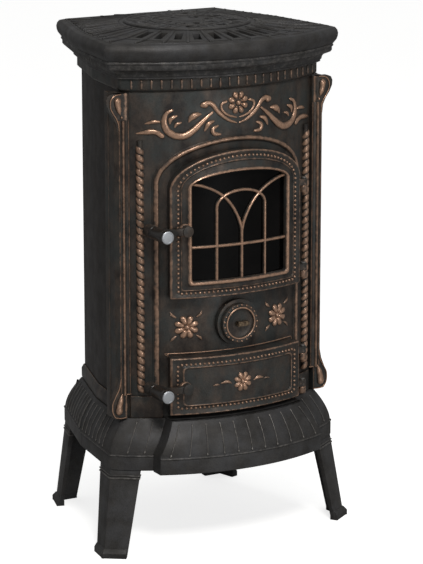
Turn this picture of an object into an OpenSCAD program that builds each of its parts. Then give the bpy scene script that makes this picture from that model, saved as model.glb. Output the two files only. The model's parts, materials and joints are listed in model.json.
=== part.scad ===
// Bow-fronted cast-iron stove on four legs: two hinged doors with lever latches,
// a turning air valve and a lift-off pierced lid. Millimetres, +Z up, front towards -Y,
// origin on the floor under the middle of the stove.

/* [Plan of the body] */
// Radius of the bowed front
bow_r = 346; // [340:1:352]
// Distance of the bow's centre behind the middle of the stove
bow_cy = 175; // [170:1:180]
// Full width of the front plate
front_w = 444; // [440:1:450]
// Distance from the centre line to the front part of each side
side_reach = 185.5; // [183:0.5:188]
// How far the front part of each side turns inwards, degrees
side_turn = 7.4; // [6.5:0.1:8]
// Distance from the centre line to the rear part of each side
rear_reach = 184.7; // [182:0.1:187]
// How far the rear part of each side turns inwards, degrees
rear_turn = 16.2; // [15:0.1:17]
// Distance from the middle of the stove to its back
back_reach = 176; // [172:1:180]

/* [Heights] */
// Height of the legs
leg_h = 163; // [150:1:180]
// Height of the plain band round the skirt
band_h = 28; // [24:1:32]
// Height of the flared part of the skirt
flare_h = 65; // [60:1:70]
// Height of the body panels
body_h = 612; // [608:1:640]
// Height of the fluted frieze
frieze_h = 25.5; // [22:0.5:30]
// Height of the cornice
cornice_h = 34.5; // [30:0.5:38]
// Height of the top plate with its rim
top_h = 32; // [28:1:36]

/* [Walls] */
// Thickness of the front plate
front_t = 10; // [8:1:12]
// Thickness of the side and back panels
panel_t = 5; // [4:0.5:8]
// Thickness of the skirt
skirt_t = 6; // [5:0.5:8]
// Thickness of the firebox plates
box_t = 5; // [4:0.5:8]
// Thickness of the floor plates
floor_t = 8; // [6:0.5:10]

/* [Skirt, apron and cornice] */
// How far the skirt's band stands out from the body
skirt_out = 37.5; // [34:0.5:40]
// How far the skirt's upper edge stands out
skirt_top_out = 8; // [6:0.5:10]
// How far the ash apron stands out from the body
apron_out = 65.5; // [62:0.5:70]
// Half of the ash apron's width at its band
apron_half = 173.5; // [165:0.5:178]
// Half of the ash apron's width at its top
apron_top_half = 139; // [132:0.5:146]
// Height of a rib above the skirt
rib_rise = 1.6; // [1:0.1:2.5]
// Width of a rib
rib_w = 3; // [2:0.5:5]
// Angle between two ribs of the front, degrees
rib_step = 4; // [3.5:0.1:5]
// Distance between two ribs of a side
side_rib_step = 19; // [16:0.5:24]
// How far the top plate's rim stands out from the body
rim_out = 42; // [38:0.5:46]
// How far the frieze stands out from the body
frieze_out = 8; // [7:0.5:10]

/* [Doors] */
// Half of the width of each door
door_half = 138.5; // [137:0.5:139]
// How far a door's face stands out from the front plate
door_out = 27; // [25:0.5:29]
// Wall of a door casting
door_wall = 8; // [6:0.5:10]
// Gap between a door's edge and the front plate
door_gap = 1; // [0.6:0.1:1.5]
// Height of the fire door's bottom above the front plate's foot
fire_up = 231; // [228:1:234]
// Rise of the fire door's arched top
fire_rise = 69; // [64:1:72]
// Height of the field above the fire door
field_h = 109; // [106:1:112]
// Half of the width of the window
window_half = 99; // [92:0.5:101]
// Height of the window's bottom above the fire door's
window_up = 32; // [29:1:35]
// Rise of the window's arched top
window_rise = 24; // [18:1:28]
// Height of the ash door's bottom above the front plate's foot
ash_up = 9; // [8:1:12]
// Height of the ash door
ash_h = 110; // [106:1:112]
// How far each opening in the front plate lies inside its door
lap = 14.5; // [13.5:0.5:15.5]

/* [Hinges and latches] */
// Place of the hinge line left or right of the middle
hinge_x = 150; // [149:0.5:151]
// Distance of the hinge line from the front plate's face
hinge_out = 25; // [24:0.5:26]
// Radius of a hinge pin
pin_r = 3.5; // [3:0.1:4]
// Outer radius of a hinge barrel
barrel_r = 7; // [6.5:0.1:7.5]
// Height of a hinge barrel
barrel_h = 13; // [11:0.5:15]
// Clearance between a pin and the barrel that turns on it
pin_clear = 0.05; // [0.02:0.01:0.08]
// Place of the latch spindles left of the middle
latch_x = 114; // [113:0.5:115]
// Radius of a latch spindle
spindle_r = 5; // [4:0.5:5.5]
// Distance from a latch spindle to its grip
lever_reach = 57; // [55:0.5:60]
// Radius of a grip
grip_r = 12.5; // [11:0.5:13]
// Length of a grip
grip_len = 52; // [46:1:58]
// Length of a latch tongue
tongue_len = 30; // [27:1:32]
// Height of the fire door's latch spindle, as a share of the door's straight side
fire_latch_share = 0.6404; // [0.6:0.0001:0.68]
// Height of the ash door's latch spindle above the door's bottom
ash_latch_up = 53.5; // [50:0.5:56]

/* [Air valve, lid and flue] */
// Height of the air valve's centre above the front plate's foot
valve_up = 174; // [170:1:178]
// Radius of the turning air disc
valve_r = 37; // [35:0.5:38]
// Radius of the fixed boss behind the air disc
boss_r = 43.5; // [42:0.5:45]
// How far the boss stands out at its middle
boss_out = 9; // [8:0.5:12]
// Radius of an air hole
air_r = 7; // [5:0.5:8]
// Distance of the air holes from the valve's centre
air_ring = 21; // [19:0.5:22]
// Angle between two of the air holes, which lie below the tab
air_step = 50; // [44:1:58]
// Radius of the lift-off lid
lid_r = 120; // [116:1:126]
// Distance of the lid's centre behind the middle of the stove
lid_cy = 15; // [10:1:20]
// Inner radius of the flue collar
flue_r = 60; // [55:1:64]
// Wall of the flue collar
flue_t = 5; // [4:0.5:7]
// How far the flue collar stands out from the back
flue_out = 60.5; // [50:0.5:80]
// Distance of the flue's centre below the top of the body panels
flue_down = 82; // [82:1:90]

/* [Firebox] */
// Gap between the firebox and the side panels at the back
box_gap = 2.4; // [1.5:0.1:4]
// Distance of the firebox's back from the middle of the stove
box_back = 125; // [115:1:128]
// Height of the ash chamber's floor above the front plate's foot
ash_floor_up = 22; // [20:1:23]
// Height of the fire's floor above the front plate's foot
fire_floor_up = 224; // [218:1:228]
// Thickness of the firebricks
brick_t = 22; // [18:1:25]
// Height of the firebricks
brick_h = 235; // [225:1:240]
// Height of the ash pan
pan_h = 58; // [50:1:64]

/* [Hidden] */
$fn = 64;
bow_fn = 288;
eps = 1;
seat = 0.3;
far = 700;

// Levels, from the floor up
band_top = leg_h + band_h;
skirt_top = band_top + flare_h;
body_top = skirt_top + body_h;
frieze_top = body_top + frieze_h;
cornice_top = frieze_top + cornice_h;
top_z = cornice_top + top_h;
plinth_top = skirt_top + 42;
plinth_out = 4;
ash_z = skirt_top + ash_up;
ash_floor_z = skirt_top + ash_floor_up;
valve_z = skirt_top + valve_up;
fire_floor_z = skirt_top + fire_floor_up;
fire_z = skirt_top + fire_up;
fire_side_h = body_h - fire_up - fire_rise - field_h;
window_z = fire_z + window_up;
window_side_h = fire_side_h - window_up + 5;
flue_z = body_top - flue_down;
box_half = (rear_reach - panel_t - (box_back + box_t) * sin(rear_turn)) / cos(rear_turn)
  - box_t - box_gap;

// Ornament on the front
bead_x = 150;
bead_w = 12;
bead_spring = fire_z + fire_side_h + 8;
bead_rise = fire_rise + 9;
rope_s = 183;
rope_r = 7.5;
rope_low = plinth_top + 7;
rope_high = body_top - 88;
pilaster_x = 194;
pilaster_t = 8;
pilaster_step = 7;
ear_x = 217.5;
ear_top_r = 22;
ear_low_r = 16;
ear_t = 12;
drop_r = 8;
relief = 4;
rosette_up = 172;
rosette_s = 96;
motif = 10;

// Iron colours
iron = "#3a3734";
bronze = "#6b4c38";
dark = "#24262a";

// ---------- Plan of the stove ----------

// Crossing of two upright faces, each given by the way it looks and its distance
function crossing(a1, d1, a2, d2) =
  [(d1 * sin(a2) - d2 * sin(a1)) / sin(a2 - a1), (d2 * cos(a1) - d1 * cos(a2)) / sin(a2 - a1)];
function front_corner(d) =
  [(side_reach + d + far * sin(side_turn)) / cos(side_turn), -far];
function side_corner(d) = crossing(side_turn, side_reach + d, rear_turn, rear_reach + d);
function back_corner(d) = crossing(rear_turn, rear_reach + d, 90, back_reach + d);
// Where a side meets the bow, both standing d out
function bow_corner(d) =
  let (n = [cos(side_turn), sin(side_turn)], t = [-sin(side_turn), cos(side_turn)],
       v = n * (side_reach + d) - [0, bow_cy], b = v * t)
  n * (side_reach + d) + t * (-b - sqrt(b * b - v * v + pow(bow_r + d, 2)));
function mirrored(points) = [for (i = [len(points) - 1:-1:0]) [-points[i][0], points[i][1]]];
function sides(d) = [front_corner(d), side_corner(d), back_corner(d)];

// Y of the bowed surface that stands d out from the front plate
function bow_y(x, d = 0) = bow_cy - sqrt(pow(bow_r + d, 2) - x * x);
function bow_turn(s, d = 0) = s / (bow_r + d) * 180 / PI;
function bow_x(s, d = 0) = (bow_r + d) * sin(bow_turn(s, d));

// Everything between the two sides and the back, in front as far as the bow
module area(d) { polygon(concat(sides(d), mirrored(sides(d)))); }

// Everything inside the round of the bow, out to d from the front plate
module round_bow(d, z0, z1) {
  translate([0, bow_cy, z0]) cylinder(r = bow_r + d, h = z1 - z0, $fn = bow_fn);
}

module block(d, z0, z1) {
  intersection() {
    round_bow(d, z0, z1);
    translate([0, 0, z0]) linear_extrude(z1 - z0) area(d);
  }
}

// A profile of [distance out, height] points, run round the bow, the sides and the back
module face(turn, reach, profile) {
  n = len(profile) - 1;
  rotate([0, 0, turn]) translate([reach, 0, 0]) rotate([90, 0, 0])
    linear_extrude(2 * far, center = true)
      polygon(concat([[-far, profile[0][1]]], profile, [[-far, profile[n][1]]]));
}

module bow(profile) {
  n = len(profile) - 1;
  translate([0, bow_cy, 0]) rotate_extrude($fn = bow_fn)
    polygon(concat([[0, profile[0][1]]], [for (p = profile) [bow_r + p[0], p[1]]],
                   [[0, profile[n][1]]]));
}

// The same profile all round; a curved one takes its points at other heights on the sides
module shaped(profile, side_profile = undef) {
  flat = is_undef(side_profile) ? profile : side_profile;
  intersection() {
    bow(profile);
    face(side_turn, side_reach, flat);
    face(rear_turn, rear_reach, flat);
    face(90, back_reach, flat);
    face(180 - rear_turn, rear_reach, flat);
    face(180 - side_turn, side_reach, flat);
  }
}

module bow_shell(d0, d1, z0, z1) {
  difference() {
    round_bow(d1, z0, z1);
    round_bow(d0, z0 - eps, z1 + eps);
  }
}

// A drawing in X and Z, cut through the front from the middle of the stove
module through_front() { rotate([90, 0, 0]) linear_extrude(far) children(); }

// The same drawing as a relief between two distances from the front plate
module on_front(d0, d1) {
  intersection() {
    bow_shell(d0, d1, skirt_top, body_top);
    through_front() children();
  }
}

// A wedge with its tip in the bow's centre
module sector(half, z0, z1, turn = 0) {
  translate([0, bow_cy, z0]) rotate([0, 0, turn]) linear_extrude(z1 - z0)
    polygon([[0, 0], [-far * tan(half), -far], [far * tan(half), -far]]);
}

// A thing on the bow, looking outwards
module at_bow(turn, r, z) {
  translate([0, bow_cy, z]) rotate([0, 0, turn]) translate([0, -r, 0]) children();
}

// Axis along Y, with the front end at -Y
module rod(x, z, y_front, y_back, r) {
  translate([x, y_back, z]) rotate([90, 0, 0]) cylinder(r = r, h = y_back - y_front);
}

// ---------- Drawings ----------

function arch(half, z0, spring, rise, steps = 24) =
  concat([[-half, z0], [half, z0]],
         [for (i = [0:steps]) [half * cos(180 * i / steps), spring + rise * sin(180 * i / steps)]]);
function fire_arch(inset) =
  arch(door_half - inset, fire_z + inset, fire_z + fire_side_h, fire_rise - inset);
function window_arch(grow) =
  arch(window_half + grow, window_z - grow, window_z + window_side_h, window_rise + grow);

module ash_area(inset) {
  half = door_half - inset;
  translate([-half, ash_z + inset]) square([2 * half, ash_h - 2 * inset]);
}

// A band of even width along points
function turn_at(p, i) =
  let (a = p[max(i - 1, 0)], b = p[min(i + 1, len(p) - 1)]) atan2(b[1] - a[1], b[0] - a[0]);
function shifted(p, i, w) = p[i] + w * [-sin(turn_at(p, i)), cos(turn_at(p, i))];
function band(p, w) =
  concat([for (i = [0:len(p) - 1]) shifted(p, i, w / 2)],
         [for (i = [len(p) - 1:-1:0]) shifted(p, i, -w / 2)]);
function arc(x, z, r, a0, a1, steps = 12) =
  [for (i = [0:steps]) let (a = a0 + (a1 - a0) * i / steps) [x + r * cos(a), z + r * sin(a)]];

// A pointed leaf, long way along X
module leaf(x, z, length, width, turn) {
  r = (length * length / 4 + width * width / 4) / width;
  translate([x, z]) rotate(turn) intersection() {
    translate([0, r - width / 2]) circle(r);
    translate([0, width / 2 - r]) circle(r);
  }
}

module rosette(x, z, r, petals = 8) {
  petal = r * 0.29;
  translate([x, z]) {
    circle(r * 0.5);
    for (i = [0:petals - 1]) rotate(i * 360 / petals) translate([r - petal, 0]) circle(petal);
  }
}

module flower(x, z) {
  rosette(x, z, 2.2 * motif);
  for (a = [45:90:315])
    leaf(x + 3.6 * motif * cos(a), z + 3.4 * motif * sin(a), 2.2 * motif, 0.8 * motif, a);
}

// Smooth curve through points
function smooth_at(p, i, t) =
  let (a = p[max(i - 1, 0)], b = p[i], c = p[i + 1], d = p[min(i + 2, len(p) - 1)])
  (2 * b + (c - a) * t + (2 * a - 5 * b + 4 * c - d) * t * t + (3 * b - 3 * c + d - a) * t * t * t) / 2;
function smooth(p) =
  concat([for (i = [0:len(p) - 2], t = [0, 0.5]) smooth_at(p, i, t)], [p[len(p) - 1]]);

// A stroke along a smooth curve, w0 wide where it starts, w1 half-way and w2 where it ends
function stroke_w(u, w0, w1, w2) = (u < 0.5 ? w0 : w2) + (w1 - (u < 0.5 ? w0 : w2)) * sin(180 * u);
module stroke(points, w0, w1, w2) {
  p = smooth(points);
  n = len(p) - 1;
  polygon(concat([for (i = [0:n]) shifted(p, i, stroke_w(i / n, w0, w1, w2) / 2)],
                 [for (i = [n:-1:0]) shifted(p, i, -stroke_w(i / n, w0, w1, w2) / 2)]));
}

// One half of the scrolls above the arch, drawn in steps of a motif from the rosette's centre
module scroll_half() {
  translate([0, body_top - 2.65 * motif]) scale(motif) {
    stroke([[5.2, -1.45], [6.8, -2.7], [8.3, -4.1], [9.6, -5.1], [10.8, -5.55], [12.2, -5.35],
            [13.45, -4.4], [13.95, -2.85], [13.6, -1.35], [12.6, -0.75]], 0.35, 0.95, 0.4);
    stroke([[6.95, 0.05], [6, 0.35], [5.1, -0.1], [4.4, -1.05], [3.5, -2], [2.05, -3.05],
            [0.5, -3.65]], 0.8, 0.5, 0.25);
    stroke([[2.5, 0.35], [3.4, -0.05], [3.35, -1.05], [2.25, -2.1], [0.6, -2.7]], 0.3, 0.35, 0.25);
    stroke([[11.8, -1.8], [12.8, -2.3], [12.9, -3.1]], 0.15, 0.5, 0.15);
    stroke([[11, -3.1], [11.8, -3.3], [12, -3.75]], 0.15, 0.4, 0.15);
    stroke([[7.5, -1.65], [8.35, -1.75], [9.15, -2.25], [9.45, -2.9]], 0.15, 0.95, 0.3);
    stroke([[14.4, -5.4], [15.2, -4.6], [16.3, -4.55], [18.3, -4.9]], 0.5, 0.9, 0.15);
    stroke([[14.9, -2.8], [15.9, -2.8], [17, -3.15]], 0.3, 0.6, 0.15);
    stroke([[5.2, -3.3], [6.05, -3.65], [6.6, -4.8]], 0.15, 0.6, 0.15);
    stroke([[4.2, -4.1], [5.1, -4.6], [4.9, -5.35], [3.8, -5.55]], 0.15, 0.5, 0.2);
  }
}

// ---------- Legs ----------

// A leg's corner and the two ways its flanges run, at the top and at the foot
leg_t = 8;
leg_wide = 56;
leg_narrow = 42;
foot_h = 16;
foot_out = 5;
leg_in = 1.5;
front_splay = [23, -16];
back_splay = [20, 6];
skirt_corner = bow_corner(skirt_out - leg_in);
skirt_back = back_corner(skirt_out - leg_in);
front_flange_turn = 180 + atan2(skirt_corner[0], bow_cy - skirt_corner[1]) - 4;

// One flange: a flat plate from the skirt down to the foot
module flange(turn, inward, splay, wide, narrow) {
  hull() {
    translate([0, 0, leg_h - eps]) rotate([0, 0, turn]) plate(wide, inward, eps);
    translate([splay[0], splay[1], 0]) rotate([0, 0, turn]) plate(narrow, inward, eps);
  }
}

module plate(w, inward, h) {
  translate([0, inward < 0 ? -leg_t : 0, 0]) cube([w, leg_t, h]);
}

module foot(turn, inward, splay) {
  hull() {
    translate([splay[0], splay[1], 0]) rotate([0, 0, turn])
      translate([-foot_out, inward < 0 ? -leg_t - 2 : -foot_out, 0])
        cube([leg_narrow + foot_out, leg_t + foot_out + 2, foot_h * 0.6]);
    translate([splay[0], splay[1], foot_h]) rotate([0, 0, turn])
      translate([0, inward < 0 ? -leg_t : 0, 0]) cube([leg_narrow, leg_t, eps]);
  }
}

pad_t = 8;
pad_r = 26;
bolt_r = 4;
front_pad = skirt_corner + [-46, 34];
back_pad = skirt_back + [-46, -38];

module leg(corner, pad, turn_a, in_a, turn_b, in_b, splay) {
  difference() {
    union() {
      translate([corner[0], corner[1], 0]) {
        flange(turn_a, in_a, splay, leg_wide, leg_narrow);
        flange(turn_b, in_b, splay, leg_wide, leg_narrow);
        foot(turn_a, in_a, splay);
        foot(turn_b, in_b, splay);
      }
      hull() {
        translate([pad[0], pad[1], leg_h - pad_t]) cylinder(r = pad_r, h = pad_t, $fn = 32);
        translate([corner[0] - 9, corner[1] + (pad[1] > corner[1] ? 2 : -7), leg_h - pad_t])
          cylinder(r = 6, h = pad_t, $fn = 32);
      }
    }
    translate([pad[0], pad[1], leg_h - pad_t - eps]) cylinder(r = bolt_r + 0.3, h = pad_t + 2 * eps);
  }
}

module leg_front() {
  leg(skirt_corner, front_pad, front_flange_turn, -1, 90 + side_turn, 1, front_splay);
}

module leg_back() {
  leg(skirt_back, back_pad, 180, 1, -90 + rear_turn, -1, back_splay);
}

module leg_front_left() { color(iron) mirror([1, 0, 0]) leg_front(); }
module leg_front_right() { color(iron) leg_front(); }
module leg_back_left() { color(iron) mirror([1, 0, 0]) leg_back(); }
module leg_back_right() { color(iron) leg_back(); }

module leg_bolt(p) {
  translate([p[0], p[1], leg_h - pad_t - 6]) cylinder(r = 2 * bolt_r, h = 6, $fn = 6);
  translate([p[0], p[1], leg_h - pad_t]) cylinder(r = bolt_r, h = pad_t + floor_t);
}

module leg_bolts() {
  color("dimgray") for (side = [-1, 1], p = [front_pad, back_pad]) leg_bolt([side * p[0], p[1]]);
}

// ---------- Skirt, apron and floor ----------

bow_steps = 6;
side_steps = 5;
function flare(d0, z0, d1, z1, steps, grow = 0) =
  [for (i = [0:steps]) let (u = i / steps)
    [d1 + (d0 - d1) * (1 - pow(u, 1.6)) + grow, z0 + (z1 - z0) * u]];
function skirt_flare(steps, grow = 0) =
  flare(skirt_out - 1.5, band_top - eps, skirt_top_out, skirt_top, steps, grow);
function skirt_inside(u) =
  [[skirt_out - 2 * skirt_t, band_top - 2 * eps],
   [(skirt_out + skirt_top_out) / 2 - skirt_t, band_top + flare_h * u],
   [skirt_top_out - 2 * skirt_t, skirt_top + eps]];
rib_low = band_top + 10;
rib_high = skirt_top - 8;
front_rib = 29.2;
front_ribs = [for (i = [1, 0]) -front_rib - i * rib_step];
apron_ribs = [for (i = [-5:5]) i * rib_step];

module radial_fin(turn) {
  translate([0, bow_cy, 0]) rotate([0, 0, turn]) translate([-rib_w / 2, -far, rib_low])
    cube([rib_w, far, rib_high - rib_low]);
}

// Fins square to one side of the skirt, from one corner to the next
module side_fins(turn, first, last) {
  rotate([0, 0, turn]) for (y = [first:side_rib_step:last])
    translate([100, y - rib_w / 2, rib_low]) cube([far - 100, rib_w, rib_high - rib_low]);
}

module half_fins() {
  for (a = front_ribs) radial_fin(-a);
  side_fins(side_turn, -110, 40);
  side_fins(rear_turn, -4, 140);
}

module base_skirt() {
  color(iron) difference() {
    union() {
      block(skirt_out, leg_h, band_top);
      shaped(skirt_flare(bow_steps), skirt_flare(side_steps));
      intersection() {
        shaped(skirt_flare(bow_steps, rib_rise), skirt_flare(side_steps, rib_rise));
        union() {
          half_fins();
          mirror([1, 0, 0]) half_fins();
        }
      }
    }
    block(skirt_out - skirt_t, leg_h - eps, band_top - eps);
    shaped(skirt_inside(0.5), skirt_inside(0.54));
  }
}

apron_low = leg_h - 1;
apron_top = skirt_top + 2;
apron_top_out = 34;
apron_profile = concat(
  [[apron_out, apron_low], [apron_out, band_top - 2]],
  flare(apron_out - 1, band_top + 3, apron_top_out, apron_top, bow_steps));
apron_flare = flare(apron_out - 1, band_top + 3, apron_top_out, apron_top, bow_steps, rib_rise);
apron_back = concat([[skirt_out + 2, apron_low - eps]],
  flare(skirt_out + 2, band_top + 1, skirt_top_out + 0.5, skirt_top, bow_steps), [[plinth_out, skirt_top],
  [plinth_out, apron_top + eps]]);
apron_pocket = [
  [apron_out - skirt_t, apron_low - 2 * eps], [apron_out - skirt_t, band_top],
  [apron_out - 3 * skirt_t, band_top + flare_h / 2], [apron_top_out - skirt_t, apron_top - skirt_t]];

// What lies within the apron's slanting cheeks, seen from the front
module within_cheeks(inset) {
  low = apron_half - inset;
  top = apron_top_half - inset;
  shoulder = band_top + 6;
  rotate([90, 0, 0]) linear_extrude(far)
    polygon([[-low, apron_low - 3 * eps], [low, apron_low - 3 * eps], [low, shoulder],
      [top, apron_top - 3], [top, apron_top + eps], [-top, apron_top + eps], [-top, apron_top - 3],
      [-low, shoulder]]);
}

module hearth_apron() {
  color(iron) difference() {
    union() {
      intersection() {
        bow(apron_profile);
        within_cheeks(0);
      }
      intersection() {
        bow(apron_flare);
        union() for (a = apron_ribs) radial_fin(a);
      }
    }
    bow(apron_back);
    intersection() {
      bow(apron_pocket);
      within_cheeks(skirt_t);
    }
  }
}

module floor_plate() {
  color(dark) difference() {
    block(skirt_out - skirt_t - seat, leg_h, leg_h + floor_t);
    for (side = [-1, 1], p = [front_pad, back_pad])
      translate([side * p[0], p[1], leg_h - eps]) cylinder(r = bolt_r, h = floor_t + 2 * eps);
  }
}

moulding_h = 28;
moulding_profile = [
  [5, skirt_top], [6, skirt_top + 4], [6, skirt_top + 20], [2, skirt_top + moulding_h]];

module plinth_drawing(side) {
  inner = door_half + 3;
  outer = pilaster_x - 1;
  difference() {
    translate([side > 0 ? inner : -outer, skirt_top])
      square([outer - inner, plinth_top - skirt_top - 1]);
    hinge_notches();
  }
}

module base_moulding() {
  color(iron) {
    difference() {
      intersection() {
        shaped(moulding_profile);
        round_bow(-front_t, 0, skirt_top + moulding_h);
      }
      block(0, skirt_top - eps, skirt_top + moulding_h + eps);
    }
    on_front(0, plinth_out) {
      plinth_drawing(-1);
      plinth_drawing(1);
    }
  }
}

// ---------- Body ----------

valve_pass = 32;

module front_plate() {
  color(iron) difference() {
    intersection() {
      bow_shell(-front_t, 0, skirt_top, body_top);
      translate([-front_w / 2, -far, skirt_top]) cube([front_w, far, body_h]);
    }
    through_front() {
      polygon(fire_arch(lap));
      ash_area(lap);
      translate([0, valve_z]) circle(valve_pass);
    }
  }
}

module front_ornament() {
  color(bronze) on_front(0, relief) {
    scroll_half();
    mirror([1, 0]) scroll_half();
    rosette(0, body_top - 2.65 * motif, 1.9 * motif);
    flower(-bow_x(rosette_s), skirt_top + rosette_up);
    flower(bow_x(rosette_s), skirt_top + rosette_up);
  }
}

// Room for the arms of the hinges
module hinge_notches() {
  for (z = hinge_levels) translate([hinge_x - barrel_r, z - 2])
    square([2 * barrel_r, barrel_h + 4]);
}

module bead_ring(w) {
  half = bead_x + w / 2;
  difference() {
    polygon(arch(half, plinth_top, bead_spring, bead_rise + w / 2));
    polygon(arch(half - w, plinth_top - eps, bead_spring, bead_rise - w / 2));
    hinge_notches();
  }
}

module arch_bead() {
  color(bronze) {
    on_front(0, 3) bead_ring(bead_w);
    on_front(3, 6) bead_ring(bead_w / 2);
  }
}

// Half-round moulding
module rope() {
  difference() {
    at_bow(bow_turn(rope_s), bow_r + 2, rope_low) cylinder(r = rope_r, h = rope_high - rope_low);
    round_bow(0, rope_low - eps, rope_high + eps);
  }
}

module rope_left() { color(bronze) mirror([1, 0, 0]) rope(); }
module rope_right() { color(bronze) rope(); }

// A pilaster looks straight forwards, so it stands further off the bow at its outer edge
pilaster_y = bow_y(pilaster_x, pilaster_t);
pilaster_end = front_w / 2 - 1;
ear_top = body_top - 16;
ear_low = skirt_top + ear_low_r + 2;

// Seen from above, with the low part of a pilaster narrower than the rest
module pilaster_plan(inner) {
  polygon([[inner, pilaster_y + 2 * pilaster_t], [inner, pilaster_y], [pilaster_x + 12, pilaster_y - 1.5],
           [pilaster_x + 19, pilaster_y + 1], [pilaster_end, pilaster_y + 10],
           [pilaster_end, bow_y(pilaster_end) + 2]]);
}

// Ear at one end of a pilaster: a flat head that runs into the shaft
module ear(z, r, way) {
  y = pilaster_y + 2;
  translate([0, y + ear_t, 0]) rotate([90, 0, 0]) linear_extrude(ear_t) intersection() {
    union() {
      translate([ear_x, z]) circle(r);
      polygon([[ear_x - 8, z], [ear_x + 0.92 * r, z + way * 0.35 * r], [pilaster_end - 1, z + way * 2.4 * r],
               [ear_x - 8, z + way * 2.4 * r]]);
    }
    translate([ear_x - 12, skirt_top + 1]) square([far, body_h - 2]);
  }
}

// A drop on an ear, wide end outwards
module drop(z, way) {
  translate([0, pilaster_y + 2 + eps, 0]) rotate([90, 0, 0]) linear_extrude(5 + eps) {
    translate([ear_x, z]) circle(drop_r);
    polygon([[ear_x - 7.4, z + way * 3], [ear_x + 7.4, z + way * 3], [ear_x, z + way * 3.4 * drop_r]]);
  }
}

module pilaster() {
  difference() {
    union() {
      translate([0, 0, plinth_top + 4]) linear_extrude(body_top - plinth_top - 5)
        pilaster_plan(pilaster_x);
      translate([0, 0, skirt_top + 1]) linear_extrude(plinth_top - skirt_top + 4)
        pilaster_plan(pilaster_x + pilaster_step);
      ear(ear_top, ear_top_r, -1);
      ear(ear_low, ear_low_r, 1);
      drop(ear_top, -1);
      drop(ear_low, 1);
    }
    round_bow(0, skirt_top, body_top);
  }
}

module pilaster_left() { color(bronze) mirror([1, 0, 0]) pilaster(); }
module pilaster_right() { color(bronze) pilaster(); }

// Outline of one side from the front to the back panel
function side_line(d) =
  [front_corner(d), side_corner(d), crossing(rear_turn, rear_reach + d, 90, back_reach - panel_t)];
function reversed(points) = [for (i = [len(points) - 1:-1:0]) points[i]];

module side_panel() {
  intersection() {
    translate([0, 0, skirt_top]) linear_extrude(body_h)
      polygon(concat(side_line(0), reversed(side_line(-panel_t))));
    round_bow(-front_t, skirt_top - eps, body_top + eps);
  }
}

module side_left() { color(dark) mirror([1, 0, 0]) side_panel(); }
module side_right() { color(dark) side_panel(); }

module back_panel() {
  half = back_corner(0)[0];
  color(dark) difference() {
    intersection() {
      translate([-half, back_reach - panel_t, skirt_top]) cube([2 * half, panel_t, body_h]);
      translate([0, 0, skirt_top]) linear_extrude(body_h) area(0);
    }
    rod(0, flue_z, back_reach - 2 * panel_t, back_reach + panel_t, flue_r + flue_t + 0.5);
  }
}

// ---------- Frieze, cornice, top plate and lid ----------

frieze_profile = [
  [0, body_top], [frieze_out - 1, body_top + 5], [frieze_out, body_top + 6],
  [frieze_out, frieze_top]];
reeds = 21;
reed_step = 18.3;
reed_w = 5;
reed_out = 1.6;

// Reeds stand upright on the front of the frieze
module frieze() {
  color(iron) difference() {
    union() {
      shaped(frieze_profile);
      intersection() {
        round_bow(frieze_out + reed_out, body_top + 7, frieze_top - 2.5);
        union() for (i = [-(reeds - 1) / 2:(reeds - 1) / 2])
          translate([0, bow_cy, body_top]) rotate([0, 0, bow_turn(i * reed_step)])
            translate([-reed_w / 2, -far, 0]) cube([reed_w, far, frieze_h]);
      }
    }
    block(-panel_t, body_top - eps, frieze_top + eps);
  }
}

cornice_profile = [
  [frieze_out + 6, frieze_top], [frieze_out + 6, frieze_top + 4.5], [18, frieze_top + 9],
  [23, frieze_top + 14], [rim_out - 13, frieze_top + 18], [rim_out - 9, frieze_top + 22.5],
  [rim_out - 9, frieze_top + 30], [rim_out - 7, cornice_top]];

module cornice() {
  color(iron) difference() {
    shaped(cornice_profile);
    block(-panel_t, frieze_top - eps, cornice_top + eps);
  }
}

top_t = 8;
top_profile = [
  [rim_out - 7, cornice_top], [rim_out - 5, cornice_top + 3], [rim_out - 2, cornice_top + 7],
  [rim_out, cornice_top + 13], [rim_out + 0.5, cornice_top + 19], [rim_out - 1, cornice_top + 25],
  [rim_out - 5, cornice_top + 30], [rim_out - 12, top_z]];
hole_r = lid_r - 10;
crown_h = 8;
crown_in = lid_r + 4;
crown_out = lid_r + 76;
slot_step = 11.3;
slots = 11;
slot_in = lid_r + 21;
slot_len = 49;
slot_w = 14;
ray_step = 8;
ray_h = 1.8;

module ray(turn, r0, r1, w, z0, z1) {
  translate([0, lid_cy, z0]) rotate([0, 0, turn]) translate([-w / 2, -r1, 0])
    cube([w, r1 - r0, z1 - z0]);
}

// Shallow cone that rises from the plate to the lid
module crown(grow) {
  intersection() {
    translate([0, lid_cy, top_z]) rotate_extrude($fn = 96)
      polygon([[0, -2 * eps], [crown_out + 10, -2 * eps], [crown_out + 10, 1 + grow],
               [crown_out, 1 + grow], [crown_in, crown_h + grow], [0, crown_h + grow]]);
    block(rim_out - 22, top_z - 3 * eps, top_z + 2 * crown_h);
  }
}

module top_plate() {
  color(iron) difference() {
    union() {
      shaped(top_profile);
      crown(0);
      intersection() {
        crown(ray_h);
        union() for (side = [-1, 1], i = [0:10])
          ray(side * (82 + i * ray_step), crown_in + 4, crown_out + 8, 4, top_z, top_z + 2 * crown_h);
      }
    }
    block(rim_out - 16, cornice_top - eps, top_z - top_t);
    translate([0, lid_cy, cornice_top]) cylinder(r = hole_r, h = top_h + 2 * crown_h);
    for (i = [0:slots - 1])
      ray((i - (slots - 1) / 2) * slot_step, slot_in, slot_in + slot_len, slot_w, cornice_top,
          top_z + 2 * crown_h);
  }
}

lid_t = 4;
lid_plug = 8;
lid_clear = 1;
lid_holes = 8;

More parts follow.
